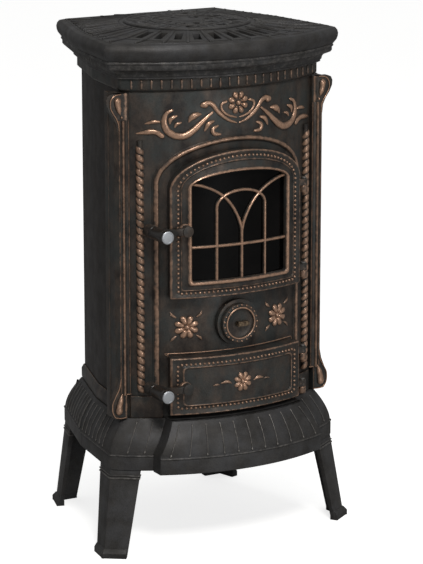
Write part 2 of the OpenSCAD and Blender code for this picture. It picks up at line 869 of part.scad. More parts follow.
module top_lid() {
  color(iron) translate([0, lid_cy, top_z + crown_h]) difference() {
    union() {
      cylinder(r = lid_r, h = lid_t);
      translate([0, 0, -lid_plug]) cylinder(r = hole_r - lid_clear, h = lid_plug + eps);
    }
    for (i = [0:lid_holes - 1]) rotate(i * 360 / lid_holes) {
      translate([lid_r - 76, 0, -lid_plug - eps]) cylinder(r = 10, h = lid_plug + lid_t + 2 * eps);
      rotate(180 / lid_holes) translate([lid_r - 36, 0, -lid_plug - eps])
        cylinder(r = 12, h = lid_plug + lid_t + 2 * eps);
    }
    translate([0, 0, -lid_plug - eps]) cylinder(r = hole_r - 12, h = lid_plug + eps);
  }
}

// ---------- Firebox ----------

roof_t = 6;
box_top = body_top - roof_t;

module firebox_side(side) {
  intersection() {
    translate([side > 0 ? box_half : -box_half - box_t, -far, leg_h + floor_t])
      cube([box_t, far + box_back + box_t, box_top - leg_h - floor_t]);
    round_bow(-front_t, 0, box_top);
  }
}

module firebox_left() { color(dark) firebox_side(-1); }
module firebox_right() { color(dark) firebox_side(1); }

module firebox_back() {
  low = leg_h + floor_t;
  color(dark) difference() {
    translate([-box_half, box_back, low]) cube([2 * box_half, box_t, box_top - low]);
    rod(0, flue_z, box_back - eps, box_back + box_t + eps, flue_r);
  }
}

module firebox_roof() {
  half = box_half + box_t;
  color(dark) intersection() {
    translate([-half, -far, box_top]) cube([2 * half, far + box_back + box_t, roof_t]);
    round_bow(-front_t, box_top, body_top);
  }
}

module shelf(z, t) {
  intersection() {
    translate([-box_half, -far, z]) cube([2 * box_half, far + box_back, t]);
    round_bow(-front_t, z, z + t);
  }
}

grate_w = 150;
grate_l = 130;
grate_t = 6;
ledge = 6;
grate_bars = 7;

module grate_box(grow, z0, z1) {
  translate([-grate_w / 2 - grow, -grate_l / 2 - grow, z0])
    cube([grate_w + 2 * grow, grate_l + 2 * grow, z1 - z0]);
}

module firebox_floor() {
  color(dark) difference() {
    shelf(fire_floor_z - floor_t - grate_t, floor_t + grate_t);
    grate_box(0.5, fire_floor_z - grate_t, fire_floor_z + eps);
    grate_box(-ledge, fire_floor_z - floor_t - grate_t - eps, fire_floor_z);
  }
}

module grate() {
  gap = (grate_w - 2 * ledge) / grate_bars;
  color(iron) difference() {
    grate_box(0, fire_floor_z - grate_t, fire_floor_z);
    for (i = [0:grate_bars - 1])
      translate([-grate_w / 2 + ledge + gap * i + 3, -grate_l / 2 + 12, fire_floor_z - grate_t - eps])
        cube([gap - 6, grate_l - 24, grate_t + 2 * eps]);
  }
}

module ash_floor() { color(dark) shelf(ash_floor_z - floor_t, floor_t); }

brick_front = -98;

module brick_side(side) {
  translate([side > 0 ? box_half - brick_t : -box_half, brick_front, fire_floor_z])
    cube([brick_t, box_back - brick_front, brick_h]);
}

module bricks_left() { color("tan") brick_side(-1); }
module bricks_right() { color("tan") brick_side(1); }

module bricks_back() {
  half = box_half - brick_t;
  color("tan") translate([-half, box_back - brick_t, fire_floor_z])
    cube([2 * half, brick_t, brick_h]);
}

module baffle() {
  color(dark) translate([-box_half, -40, fire_floor_z + brick_h])
    cube([2 * box_half, box_back + 40, 8]);
}

pan_half = 96;
pan_front = -116;
pan_back = 100;
pan_t = 2;

module ash_pan() {
  length = pan_back - pan_front;
  color("dimgray") translate([-pan_half, pan_front, ash_floor_z]) difference() {
    cube([2 * pan_half, length, pan_h]);
    translate([pan_t, pan_t, pan_t]) cube([2 * (pan_half - pan_t), length - 2 * pan_t, pan_h]);
  }
}

rod_r = 4;
// Mid-way between the firebox and a side panel
function rod_place(y, turn, reach) =
  [((reach - panel_t - y * sin(turn)) / cos(turn) + box_half + box_t) / 2, y];
rod_front = rod_place(-70, side_turn, side_reach);
rod_back = rod_place(box_back - 29, rear_turn, rear_reach);

module tie_rods() {
  low = leg_h + floor_t;
  color("dimgray") for (side = [-1, 1], p = [rod_front, rod_back])
    translate([side * p[0], p[1], low]) cylinder(r = rod_r, h = top_z - top_t - low);
}

// ---------- Flue ----------

collar_flange_r = flue_r + flue_t + 15;
collar_flange_t = 6;
flue_bolt_ring = collar_flange_r - 7.5;

module flue_collar() {
  y0 = box_back + box_t;
  color(iron) difference() {
    union() {
      rod(0, flue_z, y0, back_reach + flue_out, flue_r + flue_t);
      rod(0, flue_z, back_reach, back_reach + collar_flange_t, collar_flange_r);
    }
    rod(0, flue_z, y0 - eps, back_reach + flue_out + eps, flue_r);
  }
}

module flue_bolts() {
  color("dimgray") for (i = [0:3]) {
    a = 45 + i * 90;
    y = back_reach + collar_flange_t;
    translate([flue_bolt_ring * cos(a), y, flue_z + flue_bolt_ring * sin(a)])
      rotate([-90, 0, 0]) cylinder(r = 6, h = 5, $fn = 6);
  }
}

// ---------- Hinges ----------

hinge_y = bow_y(hinge_x, hinge_out);
fire_hinges = [fire_z + 9, fire_z + fire_side_h - 31];
ash_hinges = [ash_z + 4, ash_z + 70];
hinge_levels = concat(fire_hinges, ash_hinges);
lug_w = 9;
lug_len = 40;

// Fixed lower barrel with its arm to the front plate
module lug(z) {
  difference() {
    union() {
      translate([hinge_x, hinge_y, z]) cylinder(r = barrel_r, h = barrel_h);
      difference() {
        translate([hinge_x - lug_w / 2, hinge_y, z]) cube([lug_w, lug_len, barrel_h]);
        round_bow(0, z - eps, z + barrel_h + eps);
      }
    }
    translate([hinge_x, hinge_y, z - eps]) cylinder(r = pin_r, h = barrel_h + 2 * eps);
  }
}

module hinge_lugs() { color(iron) for (z = hinge_levels) lug(z); }

module hinge_pins() {
  color("dimgray") for (z = hinge_levels) translate([hinge_x, hinge_y, z]) {
    cylinder(r = pin_r, h = 2 * (barrel_h + seat) + eps);
    translate([0, 0, 2 * (barrel_h + seat)]) cylinder(r = pin_r + 1.5, h = 2.5);
  }
}

// Upper barrel with the strap that reaches onto the door
module strap(z) {
  low = z + barrel_h + seat;
  difference() {
    union() {
      translate([hinge_x, hinge_y, low]) cylinder(r = barrel_r, h = barrel_h);
      translate([door_half - 12, hinge_y - barrel_r, low])
        cube([hinge_x - door_half + 12, 9, barrel_h]);
    }
    translate([hinge_x, hinge_y, low - eps])
      cylinder(r = pin_r + pin_clear, h = barrel_h + 2 * eps);
  }
}

// ---------- Doors ----------

latch_boss_r = 12;
hub_back = bow_y(latch_x - latch_boss_r, door_out + 3.5) - 0.6;
fire_latch_z = fire_z + fire_latch_share * fire_side_h;
ash_latch_z = ash_z + ash_latch_up;

// A door casting: a face with a rim behind it, the latch's boss and two straps
module door_casting(latch_z, hinges) {
  difference() {
    union() {
      on_front(door_gap, door_out) children(0);
      rod(-latch_x, latch_z, hub_back, hub_back + 16, latch_boss_r);
      for (z = hinges) strap(z);
    }
    on_front(0, door_out - door_wall) children(1);
    rod(-latch_x, latch_z, hub_back - eps, hub_back + 30, spindle_r + pin_clear);
  }
}

module fire_door() {
  color(bronze) difference() {
    union() {
      door_casting(fire_latch_z, fire_hinges) {
        polygon(fire_arch(0));
        polygon(fire_arch(door_wall));
      }
      on_front(door_out, door_out + 2) difference() {
        polygon(window_arch(8));
        polygon(window_arch(0));
      }
    }
    on_front(door_out - 2 * door_wall, door_out + 3) polygon(window_arch(0));
  }
}

bar_w = 5;
tracery_r = 98;
tracery_z = window_z + window_side_h - 95;
bar_z = window_z + 63;
light_x = 51;
light_down = 42;

module ring(x, z, r) {
  translate([x, z]) difference() {
    circle(r + bar_w / 2);
    circle(r - bar_w / 2);
  }
}

module upright(x, z1) {
  translate([x - bar_w / 2, window_z]) square([bar_w, z1 - window_z]);
}

module fire_tracery() {
  spring = window_z + window_side_h - light_down;
  color(bronze) on_front(door_out - door_wall, door_out) {
    translate([-window_half, bar_z - bar_w / 2]) square([2 * window_half, bar_w]);
    upright(0, tracery_z);
    upright(-light_x, spring);
    upright(light_x, spring);
    polygon(band(arc(0, spring, light_x, 0, 180), bar_w));
    polygon(band(arc(-window_half, tracery_z, tracery_r, 0, 88), bar_w));
    polygon(band(arc(window_half, tracery_z, tracery_r, 180, 92), bar_w));
  }
}

glass_t = 4;
glass_lap = 8;

module fire_glass() {
  color("#101214") on_front(door_out - door_wall - glass_t, door_out - door_wall)
    polygon(window_arch(glass_lap));
}

clip_levels = [window_z + 30, window_z + window_side_h - 26];
clip_w = 16;
clip_h = 14;

module glass_clips() {
  color("dimgray") for (side = [-1, 1], z = clip_levels) {
    x = side * (window_half + glass_lap);
    on_front(door_out - door_wall - glass_t - 3, door_out - door_wall - glass_t)
      translate([x - clip_w / 2, z]) square([clip_w, clip_h]);
    on_front(door_out - door_wall - glass_t, door_out - door_wall)
      translate([side > 0 ? x + 0.5 : x - clip_w / 2, z]) square([clip_w / 2 - 0.5, clip_h]);
  }
}

seal_w = 5;

module fire_seal() {
  color("dimgray") on_front(seat, door_out - door_wall) difference() {
    polygon(fire_arch(door_wall));
    polygon(fire_arch(door_wall + seal_w));
  }
}

module ash_door() {
  color(bronze) {
    door_casting(ash_latch_z, ash_hinges) {
      ash_area(0);
      ash_area(door_wall);
    }
    on_front(door_out, door_out + 2) difference() {
      ash_area(20);
      ash_area(26);
      translate([-latch_x, ash_latch_z]) circle(latch_boss_r + 0.1);
    }
  }
}

module ash_seal() {
  color("dimgray") on_front(seat, door_out - door_wall) difference() {
    ash_area(door_wall);
    ash_area(door_wall + seal_w);
  }
}

module ash_ornament() {
  color(bronze) on_front(door_out, door_out + relief) {
    rosette(0, ash_z + ash_h / 2, 1.9 * motif);
    for (side = [-1, 1]) {
      leaf(side * 3.4 * motif, ash_z + ash_h / 2 + 1, 2 * motif, 0.9 * motif, side * 10);
      leaf(side * 5.2 * motif, ash_z + ash_h / 2 - 1, 1.2 * motif, 0.5 * motif, 0);
    }
  }
}

// ---------- Latches ----------

lever_t = 7;
lever_h = 16;
hub_r = 10.5;
hub_front = hub_back - 10;
base_back = bow_y(latch_x + lever_reach, 21);
collar_len = 21;
grip_x = latch_x + lever_reach;
tongue_back = bow_y(latch_x + tongue_len, -front_t) + 6;
tongue_t = 6;
tongue_w = 10;

// Curved bar from the hub back to the grip's collar, seen from above
module lever_plan() {
  y0 = hub_back - lever_t / 2 - 1;
  y1 = base_back - collar_len / 2;
  polygon(band([[-latch_x, y0], [-latch_x - 14, y0 + 0.5], [-latch_x - 27, y0 + 4.5],
                [-latch_x - 35.5, y0 + 11], [-grip_x + 16.6, y1 - 12.3], [-grip_x + 13.5, y1 - 4],
                [-grip_x, y1]], lever_t));
}

module lever_front(z) {
  neck = lever_h * 0.3;
  half = [[-latch_x, lever_h / 2], [-latch_x - 18, lever_h / 2 - 2], [-latch_x - 32, neck],
                 [-grip_x + grip_r + 1, neck], [-grip_x, lever_h / 2]];
  polygon(concat([for (p = half) p + [0, z]], [for (p = reversed(half)) [p[0], z - p[1]]]));
}

// Lever, collar, spindle and the tongue inside the door, one casting
module lever(z) {
  rod(-latch_x, z, hub_front, hub_back - seat, hub_r);
  rod(-latch_x, z, hub_front + 1, tongue_back - eps, spindle_r);
  intersection() {
    translate([0, 0, z - lever_h]) linear_extrude(2 * lever_h) lever_plan();
    through_front() lever_front(z);
  }
  rod(-grip_x, z, base_back - collar_len, base_back, grip_r);
  translate([-latch_x - tongue_w / 2, tongue_back - tongue_t, z - tongue_w / 2])
    cube([tongue_w, tongue_t, tongue_len + tongue_w / 2]);
}

module grip(z) {
  y = base_back - collar_len;
  rod(-grip_x, z, y - grip_len, y, grip_r);
}

module cap(z) {
  y = base_back - collar_len - grip_len;
  rod(-grip_x, z, y - 3, y, grip_r - 0.5);
}

module fire_lever() { color(iron) lever(fire_latch_z); }
module fire_grip() { color("#151515") grip(fire_latch_z); }
module fire_cap() { color("silver") cap(fire_latch_z); }
module ash_lever() { color(iron) lever(ash_latch_z); }
module ash_grip() { color("#151515") grip(ash_latch_z); }
module ash_cap() { color("silver") cap(ash_latch_z); }

// ---------- Air valve ----------

boss_front = bow_y(0) - boss_out;
disc_t = 10;
disc_recess = 5;
disc_front = boss_front - 0.4 - disc_t;
stem_r = 4;

module air_holes(y0, y1) {
  for (a = [-1, 0, 1] * air_step)
    rod(air_ring * sin(a), valve_z - air_ring * cos(a), y0, y1, air_r);
}

module air_boss() {
  color(iron) difference() {
    rod(0, valve_z, boss_front, 0, boss_r);
    round_bow(0, valve_z - boss_r - eps, valve_z + boss_r + eps);
    air_holes(boss_front - eps, 0);
    rod(0, valve_z, boss_front - eps, 0, stem_r + pin_clear);
  }
}

module air_disc() {
  color(iron) {
    difference() {
      rod(0, valve_z, disc_front, disc_front + disc_t, valve_r);
      rod(0, valve_z, disc_front - eps, disc_front + disc_recess, valve_r - 8);
      air_holes(disc_front - eps, disc_front + disc_t + eps);
    }
    rod(0, valve_z, disc_front + disc_t, bow_y(0) + 3, stem_r);
    rod(0, valve_z, bow_y(0) + 3, bow_y(0) + 7, 2 * stem_r);
  }
}

tab_w = 32;
tab_h = 11;
tab_t = 12;

module air_tab() {
  color("#8a6a45") translate([-tab_w / 2, disc_front + disc_recess - tab_t, valve_z - tab_h / 2])
    cube([tab_w, tab_t, tab_h]);
}

// ---------- Pieces ----------

leg_front_left();
leg_front_right();
leg_back_left();
leg_back_right();
leg_bolts();
base_skirt();
hearth_apron();
floor_plate();
base_moulding();
front_plate();
front_ornament();
arch_bead();
rope_left();
rope_right();
pilaster_left();
pilaster_right();
side_left();
side_right();
back_panel();
frieze();
cornice();
top_plate();
firebox_left();
firebox_right();
firebox_back();
firebox_roof();
firebox_floor();
bricks_left();
bricks_right();
bricks_back();
baffle();
grate();
ash_floor();
ash_pan();
tie_rods();
flue_collar();
flue_bolts();
hinge_lugs();
hinge_pins();
air_boss();
fire_door();
fire_tracery();
fire_glass();
glass_clips();
fire_seal();
fire_lever();
fire_grip();
fire_cap();
ash_door();
ash_seal();
ash_ornament();
ash_lever();
ash_grip();
ash_cap();
air_disc();
air_tab();
top_lid();
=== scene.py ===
"""Bow-fronted cast-iron stove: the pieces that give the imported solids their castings,
ornament and finish, in metres, +Z up, front towards -Y. Drawings are in millimetres."""

import json
from math import asin, cos, pi, radians, sin, sqrt

import bmesh
import bpy
from bpy.props import FloatProperty, FloatVectorProperty, IntProperty, PointerProperty
from mathutils import Matrix, Vector


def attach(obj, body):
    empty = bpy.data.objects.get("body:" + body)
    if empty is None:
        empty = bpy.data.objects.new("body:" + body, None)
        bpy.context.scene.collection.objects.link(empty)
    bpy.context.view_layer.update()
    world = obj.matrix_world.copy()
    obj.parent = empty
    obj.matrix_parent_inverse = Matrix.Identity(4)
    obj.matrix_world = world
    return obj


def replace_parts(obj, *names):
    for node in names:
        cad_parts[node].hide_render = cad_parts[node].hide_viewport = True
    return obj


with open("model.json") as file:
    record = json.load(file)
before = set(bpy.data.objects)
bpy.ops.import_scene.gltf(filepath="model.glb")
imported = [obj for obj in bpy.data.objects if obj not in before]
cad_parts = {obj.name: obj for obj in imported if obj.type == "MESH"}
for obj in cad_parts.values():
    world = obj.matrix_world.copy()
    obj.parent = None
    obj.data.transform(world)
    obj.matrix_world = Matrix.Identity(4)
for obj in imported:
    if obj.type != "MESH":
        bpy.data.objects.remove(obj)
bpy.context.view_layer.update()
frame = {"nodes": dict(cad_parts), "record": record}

bl_info = {
    "name": "Bow-fronted stove",
    "version": (1, 0, 0),
    "blender": (4, 5, 0),
    "location": "3D View > Sidebar > Stove",
    "description": "Castings, ornament and finishes of a bow-fronted cast-iron stove",
    "category": "Object",
}

MM = 0.001


def linear(code):
    """A colour written as sRGB hex, as linear light with alpha."""
    parts = [int(code[i:i + 2], 16) / 255 for i in (1, 3, 5)]
    return tuple(c / 12.92 if c <= 0.04045 else ((c + 0.055) / 1.055) ** 2.4
                 for c in parts) + (1.0,)


def darker(tone, share):
    return [c * share for c in tone[:3]] + [1.0]


# The finish of each slot
FINISHES = {"iron_dark": "Blackleaded cast iron", "iron_bronzed": "Patinated cast iron",
            "iron_plain": "Brown-black plate iron", "steel": "Zinc-coated steel",
            "firebrick": "Firebrick", "dark_glass": "Smoked and shade-darkened stove glass",
            "seal_cord": "Glass-fibre seal", "black_grip": "Black phenolic",
            "bright_cap": "Faced aluminium", "brass": "Dulled brass"}


# ---------- Sizes and colours that a user would change ----------


def length(name, text, value):
    return FloatProperty(name=name, description=text, default=value * MM, unit="LENGTH", min=0.0)


def colour(name, text, code):
    return FloatVectorProperty(name=name, description=text, default=linear(code), size=4,
                               subtype="COLOR", min=0.0, max=1.0)


class StoveSizes(bpy.types.PropertyGroup):
    pearl: length("Pearl radius", "Radius of a pearl on the door rims", 2.5)
    pearl_pitch: length("Pearl pitch", "Distance from one pearl to the next", 8.6)
    strand_pitch: length("Rope pitch", "Height from one rope strand to the next", 13.6)
    rib_turn: FloatProperty(name="Rib turn", description="Angle between two ribs of the apron",
                            default=radians(4), subtype="ANGLE", unit="ROTATION")
    side_rib: length("Side rib spacing", "Distance between two ribs on the skirt's sides", 19)
    reeds: IntProperty(name="Reeds", description="Number of reeds on the frieze", default=23,
                       min=1)


class StoveFinish(bpy.types.PropertyGroup):
    field: colour("Field", "Patinated iron of the front", "#544a42")
    field_dark: colour("Field, dark", "Darkest clouds of the patina", "#2d2927")
    field_cool: colour("Field, cool", "Blue-grey clouds of the patina", "#3c403f")
    copper: colour("Copper", "Bronze rubbed through on raised ornament", "#cda58a")
    iron: colour("Iron", "Dark grey iron of the skirt, cornice and top", "#413f3d")
    iron_worn: colour("Worn iron", "Iron rubbed bright on its edges", "#8a8681")
    side: colour("Side plates", "Brown-black side and back plates", "#302a26")


# ---------- Plan of the stove, in millimetres ----------

BOW_R = 346.0
BOW_CY = 175.0
# Each flat wall as seen from above: the turn of its face and how far out it stands
SIDE = (radians(7.4), 185.5)
REAR = (radians(16.2), 184.7)
BACK = (radians(90), 176.0)

# Where the moving pieces are: x across, y forwards and back, z up
HINGE_X = 150.0
ASH_HINGES, FIRE_HINGES = (269, 335), (496, 659)
LATCH_X, GRIP_X = -114, -171
LATCH_Z = {"fire": 617.0, "ash": 318.5}
VALVE_Y, VALVE_Z = -180.4, 430
LID_Y, LID_TOP, LEAF_H = 15, 970.2, 1.8


def bow_y(x, out):
    return BOW_CY - sqrt((BOW_R + out) ** 2 - x * x)


def on_bow(x, z, out):
    """A point of the bowed front, x across, z up and out from the front plate."""
    return Vector((x, bow_y(x, out), z)) * MM


def at_turn(turn, z, out):
    """A point of the bowed front, by its angle from the middle."""
    r = BOW_R + out
    return Vector((r * sin(turn), BOW_CY - r * cos(turn), z)) * MM


def front(out):
    return lambda x, z, h: on_bow(x, z, out + h)


def crossing(one, two, out):
    (a, da), (b, db) = one, two
    da, db = da + out, db + out
    s = sin(b - a)
    return Vector(((da * sin(b) - db * sin(a)) / s, (db * cos(a) - da * cos(b)) / s))


def bow_corner(out):
    """Where a side meets the bow, both standing out by the same distance."""
    n, t = Vector((cos(SIDE[0]), sin(SIDE[0]))), Vector((-sin(SIDE[0]), cos(SIDE[0])))
    v = n * (SIDE[1] + out) - Vector((0, BOW_CY))
    b = v.dot(t)
    return n * (SIDE[1] + out) + t * (-b - sqrt(b * b - v.dot(v) + (BOW_R + out) ** 2))


def plan(out, soft=2.5, steps=56):
    """The stove's outline seen from above, standing out from its body, with softened corners."""
    corner = bow_corner(out)
    half = asin(corner.x / (BOW_R + out))
    inset = soft / (BOW_R + out)
    arc = [(half - inset) * (2 * i / steps - 1) for i in range(steps + 1)]
    points = [Vector(((BOW_R + out) * sin(a), BOW_CY - (BOW_R + out) * cos(a))) for a in arc]
    side = [corner, crossing(SIDE, REAR, out), crossing(REAR, BACK, out)]
    right = []
    for i, p in enumerate(side):
        before = points[-1] if i == 0 else side[i - 1]
        after = side[i + 1] if i < 2 else Vector((-side[2].x, side[2].y))
        a, b = p + (before - p).normalized() * soft, p + (after - p).normalized() * soft
        right += ([] if i == 0 else [a]) + [(a + 2 * p + b) / 4, b]
    left = [Vector((-p.x, p.y)) for p in reversed(right)]
    return points + right + left


# ---------- Smooth lines ----------


def smooth(points, steps=5):
    """Points of a smooth curve through the given ones, with how far along each lies."""
    p = [Vector(q) for q in points]
    out = []
    for i in range(len(p) - 1):
        a, b, c, d = p[max(i - 1, 0)], p[i], p[i + 1], p[min(i + 2, len(p) - 1)]
        for k in range(steps):
            t = k / steps
            out.append((2 * b + (c - a) * t + (2 * a - 5 * b + 4 * c - d) * t ** 2
                        + (3 * b - 3 * c + d - a) * t ** 3) / 2)
    out.append(p[-1])
    return out


def along(points):
    lengths = [0.0]
    for a, b in zip(points, points[1:]):
        lengths.append(lengths[-1] + (b - a).length)
    return [s / lengths[-1] for s in lengths]


def swell(u, sizes):
    """A size that goes from the first value over the second, half-way, to the third."""
    if not isinstance(sizes, tuple):
        return sizes
    end = sizes[0] if u < 0.5 else sizes[2]
    return end + (sizes[1] - end) * sin(pi * u)


def round_arch(half, low, spring, rise, corner, steps=40):
    """Closed outline with an arched top, anticlockwise from the bottom's middle."""
    points = [(half * (i / 12), low) for i in range(12)]
    points[-1] = (half - corner, low)
    for i in range(1, 5):
        a = pi / 2 * i / 5
        points.append((half - corner + corner * sin(a), low + corner - corner * cos(a)))
    for i in range(15):
        points.append((half, low + corner + (spring - low - corner) * i / 15))
    points += [(half * cos(pi * i / steps), spring + rise * sin(pi * i / steps))
               for i in range(steps // 2 + 1)]
    return [Vector(p) for p in points] + [Vector((-x, z)) for x, z in reversed(points[1:-1])]


def round_box(half, low, high, corner):
    """Closed outline of a box with round corners, as many points whatever its size."""
    points = [(half * i / 12, low) for i in range(12)]
    points[-1] = (half - corner, low)
    for cz, way in ((low + corner, -1), (high - corner, 1)):
        for i in range(7):
            a = pi / 2 * i / 6 * (1 if way < 0 else -1) + (0 if way < 0 else pi / 2)
            points.append((half - corner + corner * sin(a), cz + way * corner * cos(a)))
        if way < 0:
            points += [(half, low + corner + (high - low - 2 * corner) * i / 8)
                       for i in range(1, 8)]
    points += [(half * i / 12, high) for i in range(11, -1, -1)]
    return [Vector(p) for p in points] + [Vector((-x, z)) for x, z in reversed(points[1:-1])]


def circle(r, steps):
    """A line once round, its last point on its first."""
    return [(r * cos(2 * pi * i / steps), r * sin(2 * pi * i / steps)) for i in range(steps + 1)]


# ---------- Making meshes ----------

# How far the rubbed parts of the pilasters, door rims and window frame are worn, and the pearls
PILASTER_WEAR, RIM_WEAR, WINDOW_WEAR, PEARL_WEAR = 0.75, 0.72, 0.9, 0.75


def as_mesh(shape, name):
    """A bmesh as plain mesh data; the bmesh is freed."""
    mesh = bpy.data.meshes.new(name)
    shape.to_mesh(mesh)
    shape.free()
    return mesh


def solid_shape(node):
    """A node's own shape, with each of its flat faces in one piece."""
    shape = bmesh.new()
    shape.from_mesh(frame["nodes"][node].data)
    bmesh.ops.remove_doubles(shape, verts=shape.verts, dist=1e-6)
    bmesh.ops.dissolve_limit(shape, angle_limit=radians(0.6), verts=shape.verts,
                             edges=shape.edges)
    return shape


def facing(x, z, y=0.0):
    """Places a shape turned about a line that runs forwards, h of it towards the front."""
    return lambda u, v, h: Vector((x + u, y - h, z + v)) * MM


class Casting:
    """Gathers the closed shells of one piece and how far each point is rubbed bright."""

    def __init__(self):
        self.mesh = bmesh.new()
        self.rub = self.mesh.verts.layers.float.new("rub")

    def point(self, place, rub=0.0):
        v = self.mesh.verts.new(place)
        v[self.rub] = rub
        return v

    def skin(self, rings, rubs=None, loop=False):
        """Faces between rings of points; a skin that isn't a loop is closed at both ends."""
        made = []
        for i, ring in enumerate(rings):
            r = rubs[i] if rubs else 0.0
            made.append([self.point(p, r[k] if isinstance(r, list) else r)
                         for k, p in enumerate(ring)])
        n = len(made[0])
        pairs = list(zip(made, made[1:])) + ([(made[-1], made[0])] if loop else [])
        for a, b in pairs:
            for k in range(n):
                self.mesh.faces.new((a[k], a[(k + 1) % n], b[(k + 1) % n], b[k]))
        if not loop:
            self.mesh.faces.new(made[0])
            self.mesh.faces.new(made[-1])

    def hoop(self, profile, rubs):
        """A band round the whole stove, from [out, z] points of its section."""
        self.skin([[Vector((p.x, p.y, z)) * MM for p in plan(out)] for out, z in profile],
                  rubs, loop=True)

    def ridge(self, points, width, height, place, rub=1.0, steps=5, sunk=0.8, across=8,
              blunt=False):
        """A rounded ridge on a surface along a smooth line, with round ends."""
        line = smooth(points, steps) if steps > 1 else [Vector(p) for p in points]
        far = along(line)
        stations = []
        for i, p in enumerate(line):
            t = (line[min(i + 1, len(line) - 1)] - line[max(i - 1, 0)]).normalized()
            stations.append((p, t, swell(far[i], width) / 2, swell(far[i], height)))
        if not blunt:
            for end, way in ((0, -1), (-1, 1)):
                p, t, w, h = stations[end]
                caps = [(p + t * way * w * cos(a), t, w * sin(a), h * sin(a))
                        for a in (radians(12), radians(35), radians(62))]
                stations = caps + stations if end == 0 else stations + caps[::-1]
        rings, rubs = [], []
        for p, t, w, h in stations:
            n = Vector((-t.y, t.x))
            ring, bright = [], []
            for k in range(across + 1):
                a = pi * k / across
                q = p + n * w * cos(a)
                ring.append(place(q.x, q.y, h * sin(a)))
                bright.append(rub * max(0.0, sin(a)) ** 0.8)
            for side in (-1, 1):
                q = p + n * w * side
                ring.append(place(q.x, q.y, -sunk))
                bright.append(0.0)
            rings.append(ring)
            rubs.append(bright)
        self.skin(rings, rubs)

    def dome(self, x, z, rx, rz, height, place, rub=1.0, around=18, rings=5, sunk=0.8):
        """A low rounded boss on a surface."""
        top = self.point(place(x, z, height), rub)
        last = None
        for j in range(1, rings + 2):
            a = pi / 2 * min(j / rings, 1)
            ring = []
            for k in range(around):
                b = 2 * pi * k / around
                u, v = rx * sin(a) * cos(b), rz * sin(a) * sin(b)
                h = -sunk if j > rings else height * cos(a)
                ring.append(self.point(place(x + u, z + v, h),
                                       rub * cos(a) ** 0.7 if j <= rings else 0.0))
            for k in range(around):
                n = (k + 1) % around
                if last is None:
                    self.mesh.faces.new((top, ring[k], ring[n]))
                else:
                    self.mesh.faces.new((last[k], last[n], ring[n], ring[k]))
            last = ring
        self.mesh.faces.new(last)

    def turned(self, profile, place, around, rubs=None):
        """A solid turned from [radius, height] points, the first and last on its axis."""
        rings, bright = [], []
        for i, (r, h) in enumerate(profile):
            r = max(r, 0.02)
            rings.append([place(r * cos(2 * pi * k / around), r * sin(2 * pi * k / around), h)
                          for k in range(around)])
            bright.append(rubs[i] if rubs else 0.0)
        self.skin(rings, bright)

    def block(self, low, high, soft, rub):
        """A box with softened edges, in millimetres."""
        got = bmesh.ops.create_cube(self.mesh, size=1.0)["verts"]
        for v in got:
            v.co = Vector(((low[i] + high[i]) / 2 + v.co[i] * (high[i] - low[i])
                           for i in range(3))) * MM
        edges = list({e for v in got for e in v.link_edges})
        made = bmesh.ops.bevel(self.mesh, geom=edges, offset=soft * MM, segments=2, affect="EDGES")
        for f in made["faces"]:
            for v in f.verts:
                v[self.rub] = rub

    def closed(self, name="shape"):
        """The shells as plain mesh data, with every face turned outwards."""
        bmesh.ops.recalc_face_normals(self.mesh, faces=self.mesh.faces)
        return as_mesh(self.mesh, name)

    def piece(self, name, body, slot, sharp=38):
        return finished(name, self.closed(name), body, slot, sharp)


def finished(name, mesh, body, slot, sharp=38):
    """An object in its place, with its finish, riding on a body of the frame."""
    mesh.polygons.foreach_set("use_smooth", [True] * len(mesh.polygons))
    if sharp:
        mesh.set_sharp_from_angle(angle=radians(sharp))
    mesh.materials.clear()
    mesh.materials.append(bpy.data.materials[FINISHES[slot]])
    mesh.update()
    obj = bpy.data.objects.new(name, mesh)
    bpy.context.collection.objects.link(obj)
    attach(obj, body)
    return obj


def from_solid(node, name, body, slot, soft, sharp=30, change=None, worn=0.7):
    """A node's own shape with its corners softened by so many mm, and worn bright along them."""
    mesh = solid_shape(node)
    rub = mesh.verts.layers.float.new("rub")
    edges = [e for e in mesh.edges if len(e.link_faces) == 2
             and e.calc_face_angle(0) > radians(sharp)]
    made = bmesh.ops.bevel(mesh, geom=edges, offset=soft * MM, segments=2, affect="EDGES",
                           clamp_overlap=True, profile=0.6)
    soft_faces = set(made["faces"])
    for v in made["verts"]:
        v[rub] = worn if soft_faces.issuperset(v.link_faces) else 0.0
    if change:
        change(mesh, rub)
    obj = finished(name, as_mesh(mesh, name), body, slot)
    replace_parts(obj, node)
    return obj


# ---------- Geometry Nodes ----------


def feed(tree, node, inputs):
    """Gives a node its inputs, each by name or number, as a value or a socket."""
    for key, value in inputs.items():
        if isinstance(value, bpy.types.NodeSocket):
            tree.links.new(value, node.inputs[key])
        else:
            node.inputs[key].default_value = value


def put(tree, kind, inputs=None, **settings):
    """Adds a node with its settings and inputs."""
    made = tree.nodes.new(kind)
    for key, value in settings.items():
        setattr(made, key, value)
    feed(tree, made, inputs or {})
    return made


def new_tree(name, sockets):
    tree = bpy.data.node_groups.new(name, "GeometryNodeTree")
    tree.interface.new_socket("Geometry", in_out="INPUT", socket_type="NodeSocketGeometry")
    for label, kind in sockets:
        tree.interface.new_socket(label, in_out="INPUT", socket_type="NodeSocket" + kind)
    tree.interface.new_socket("Geometry", in_out="OUTPUT", socket_type="NodeSocketGeometry")
    return tree, put(tree, "NodeGroupInput").outputs


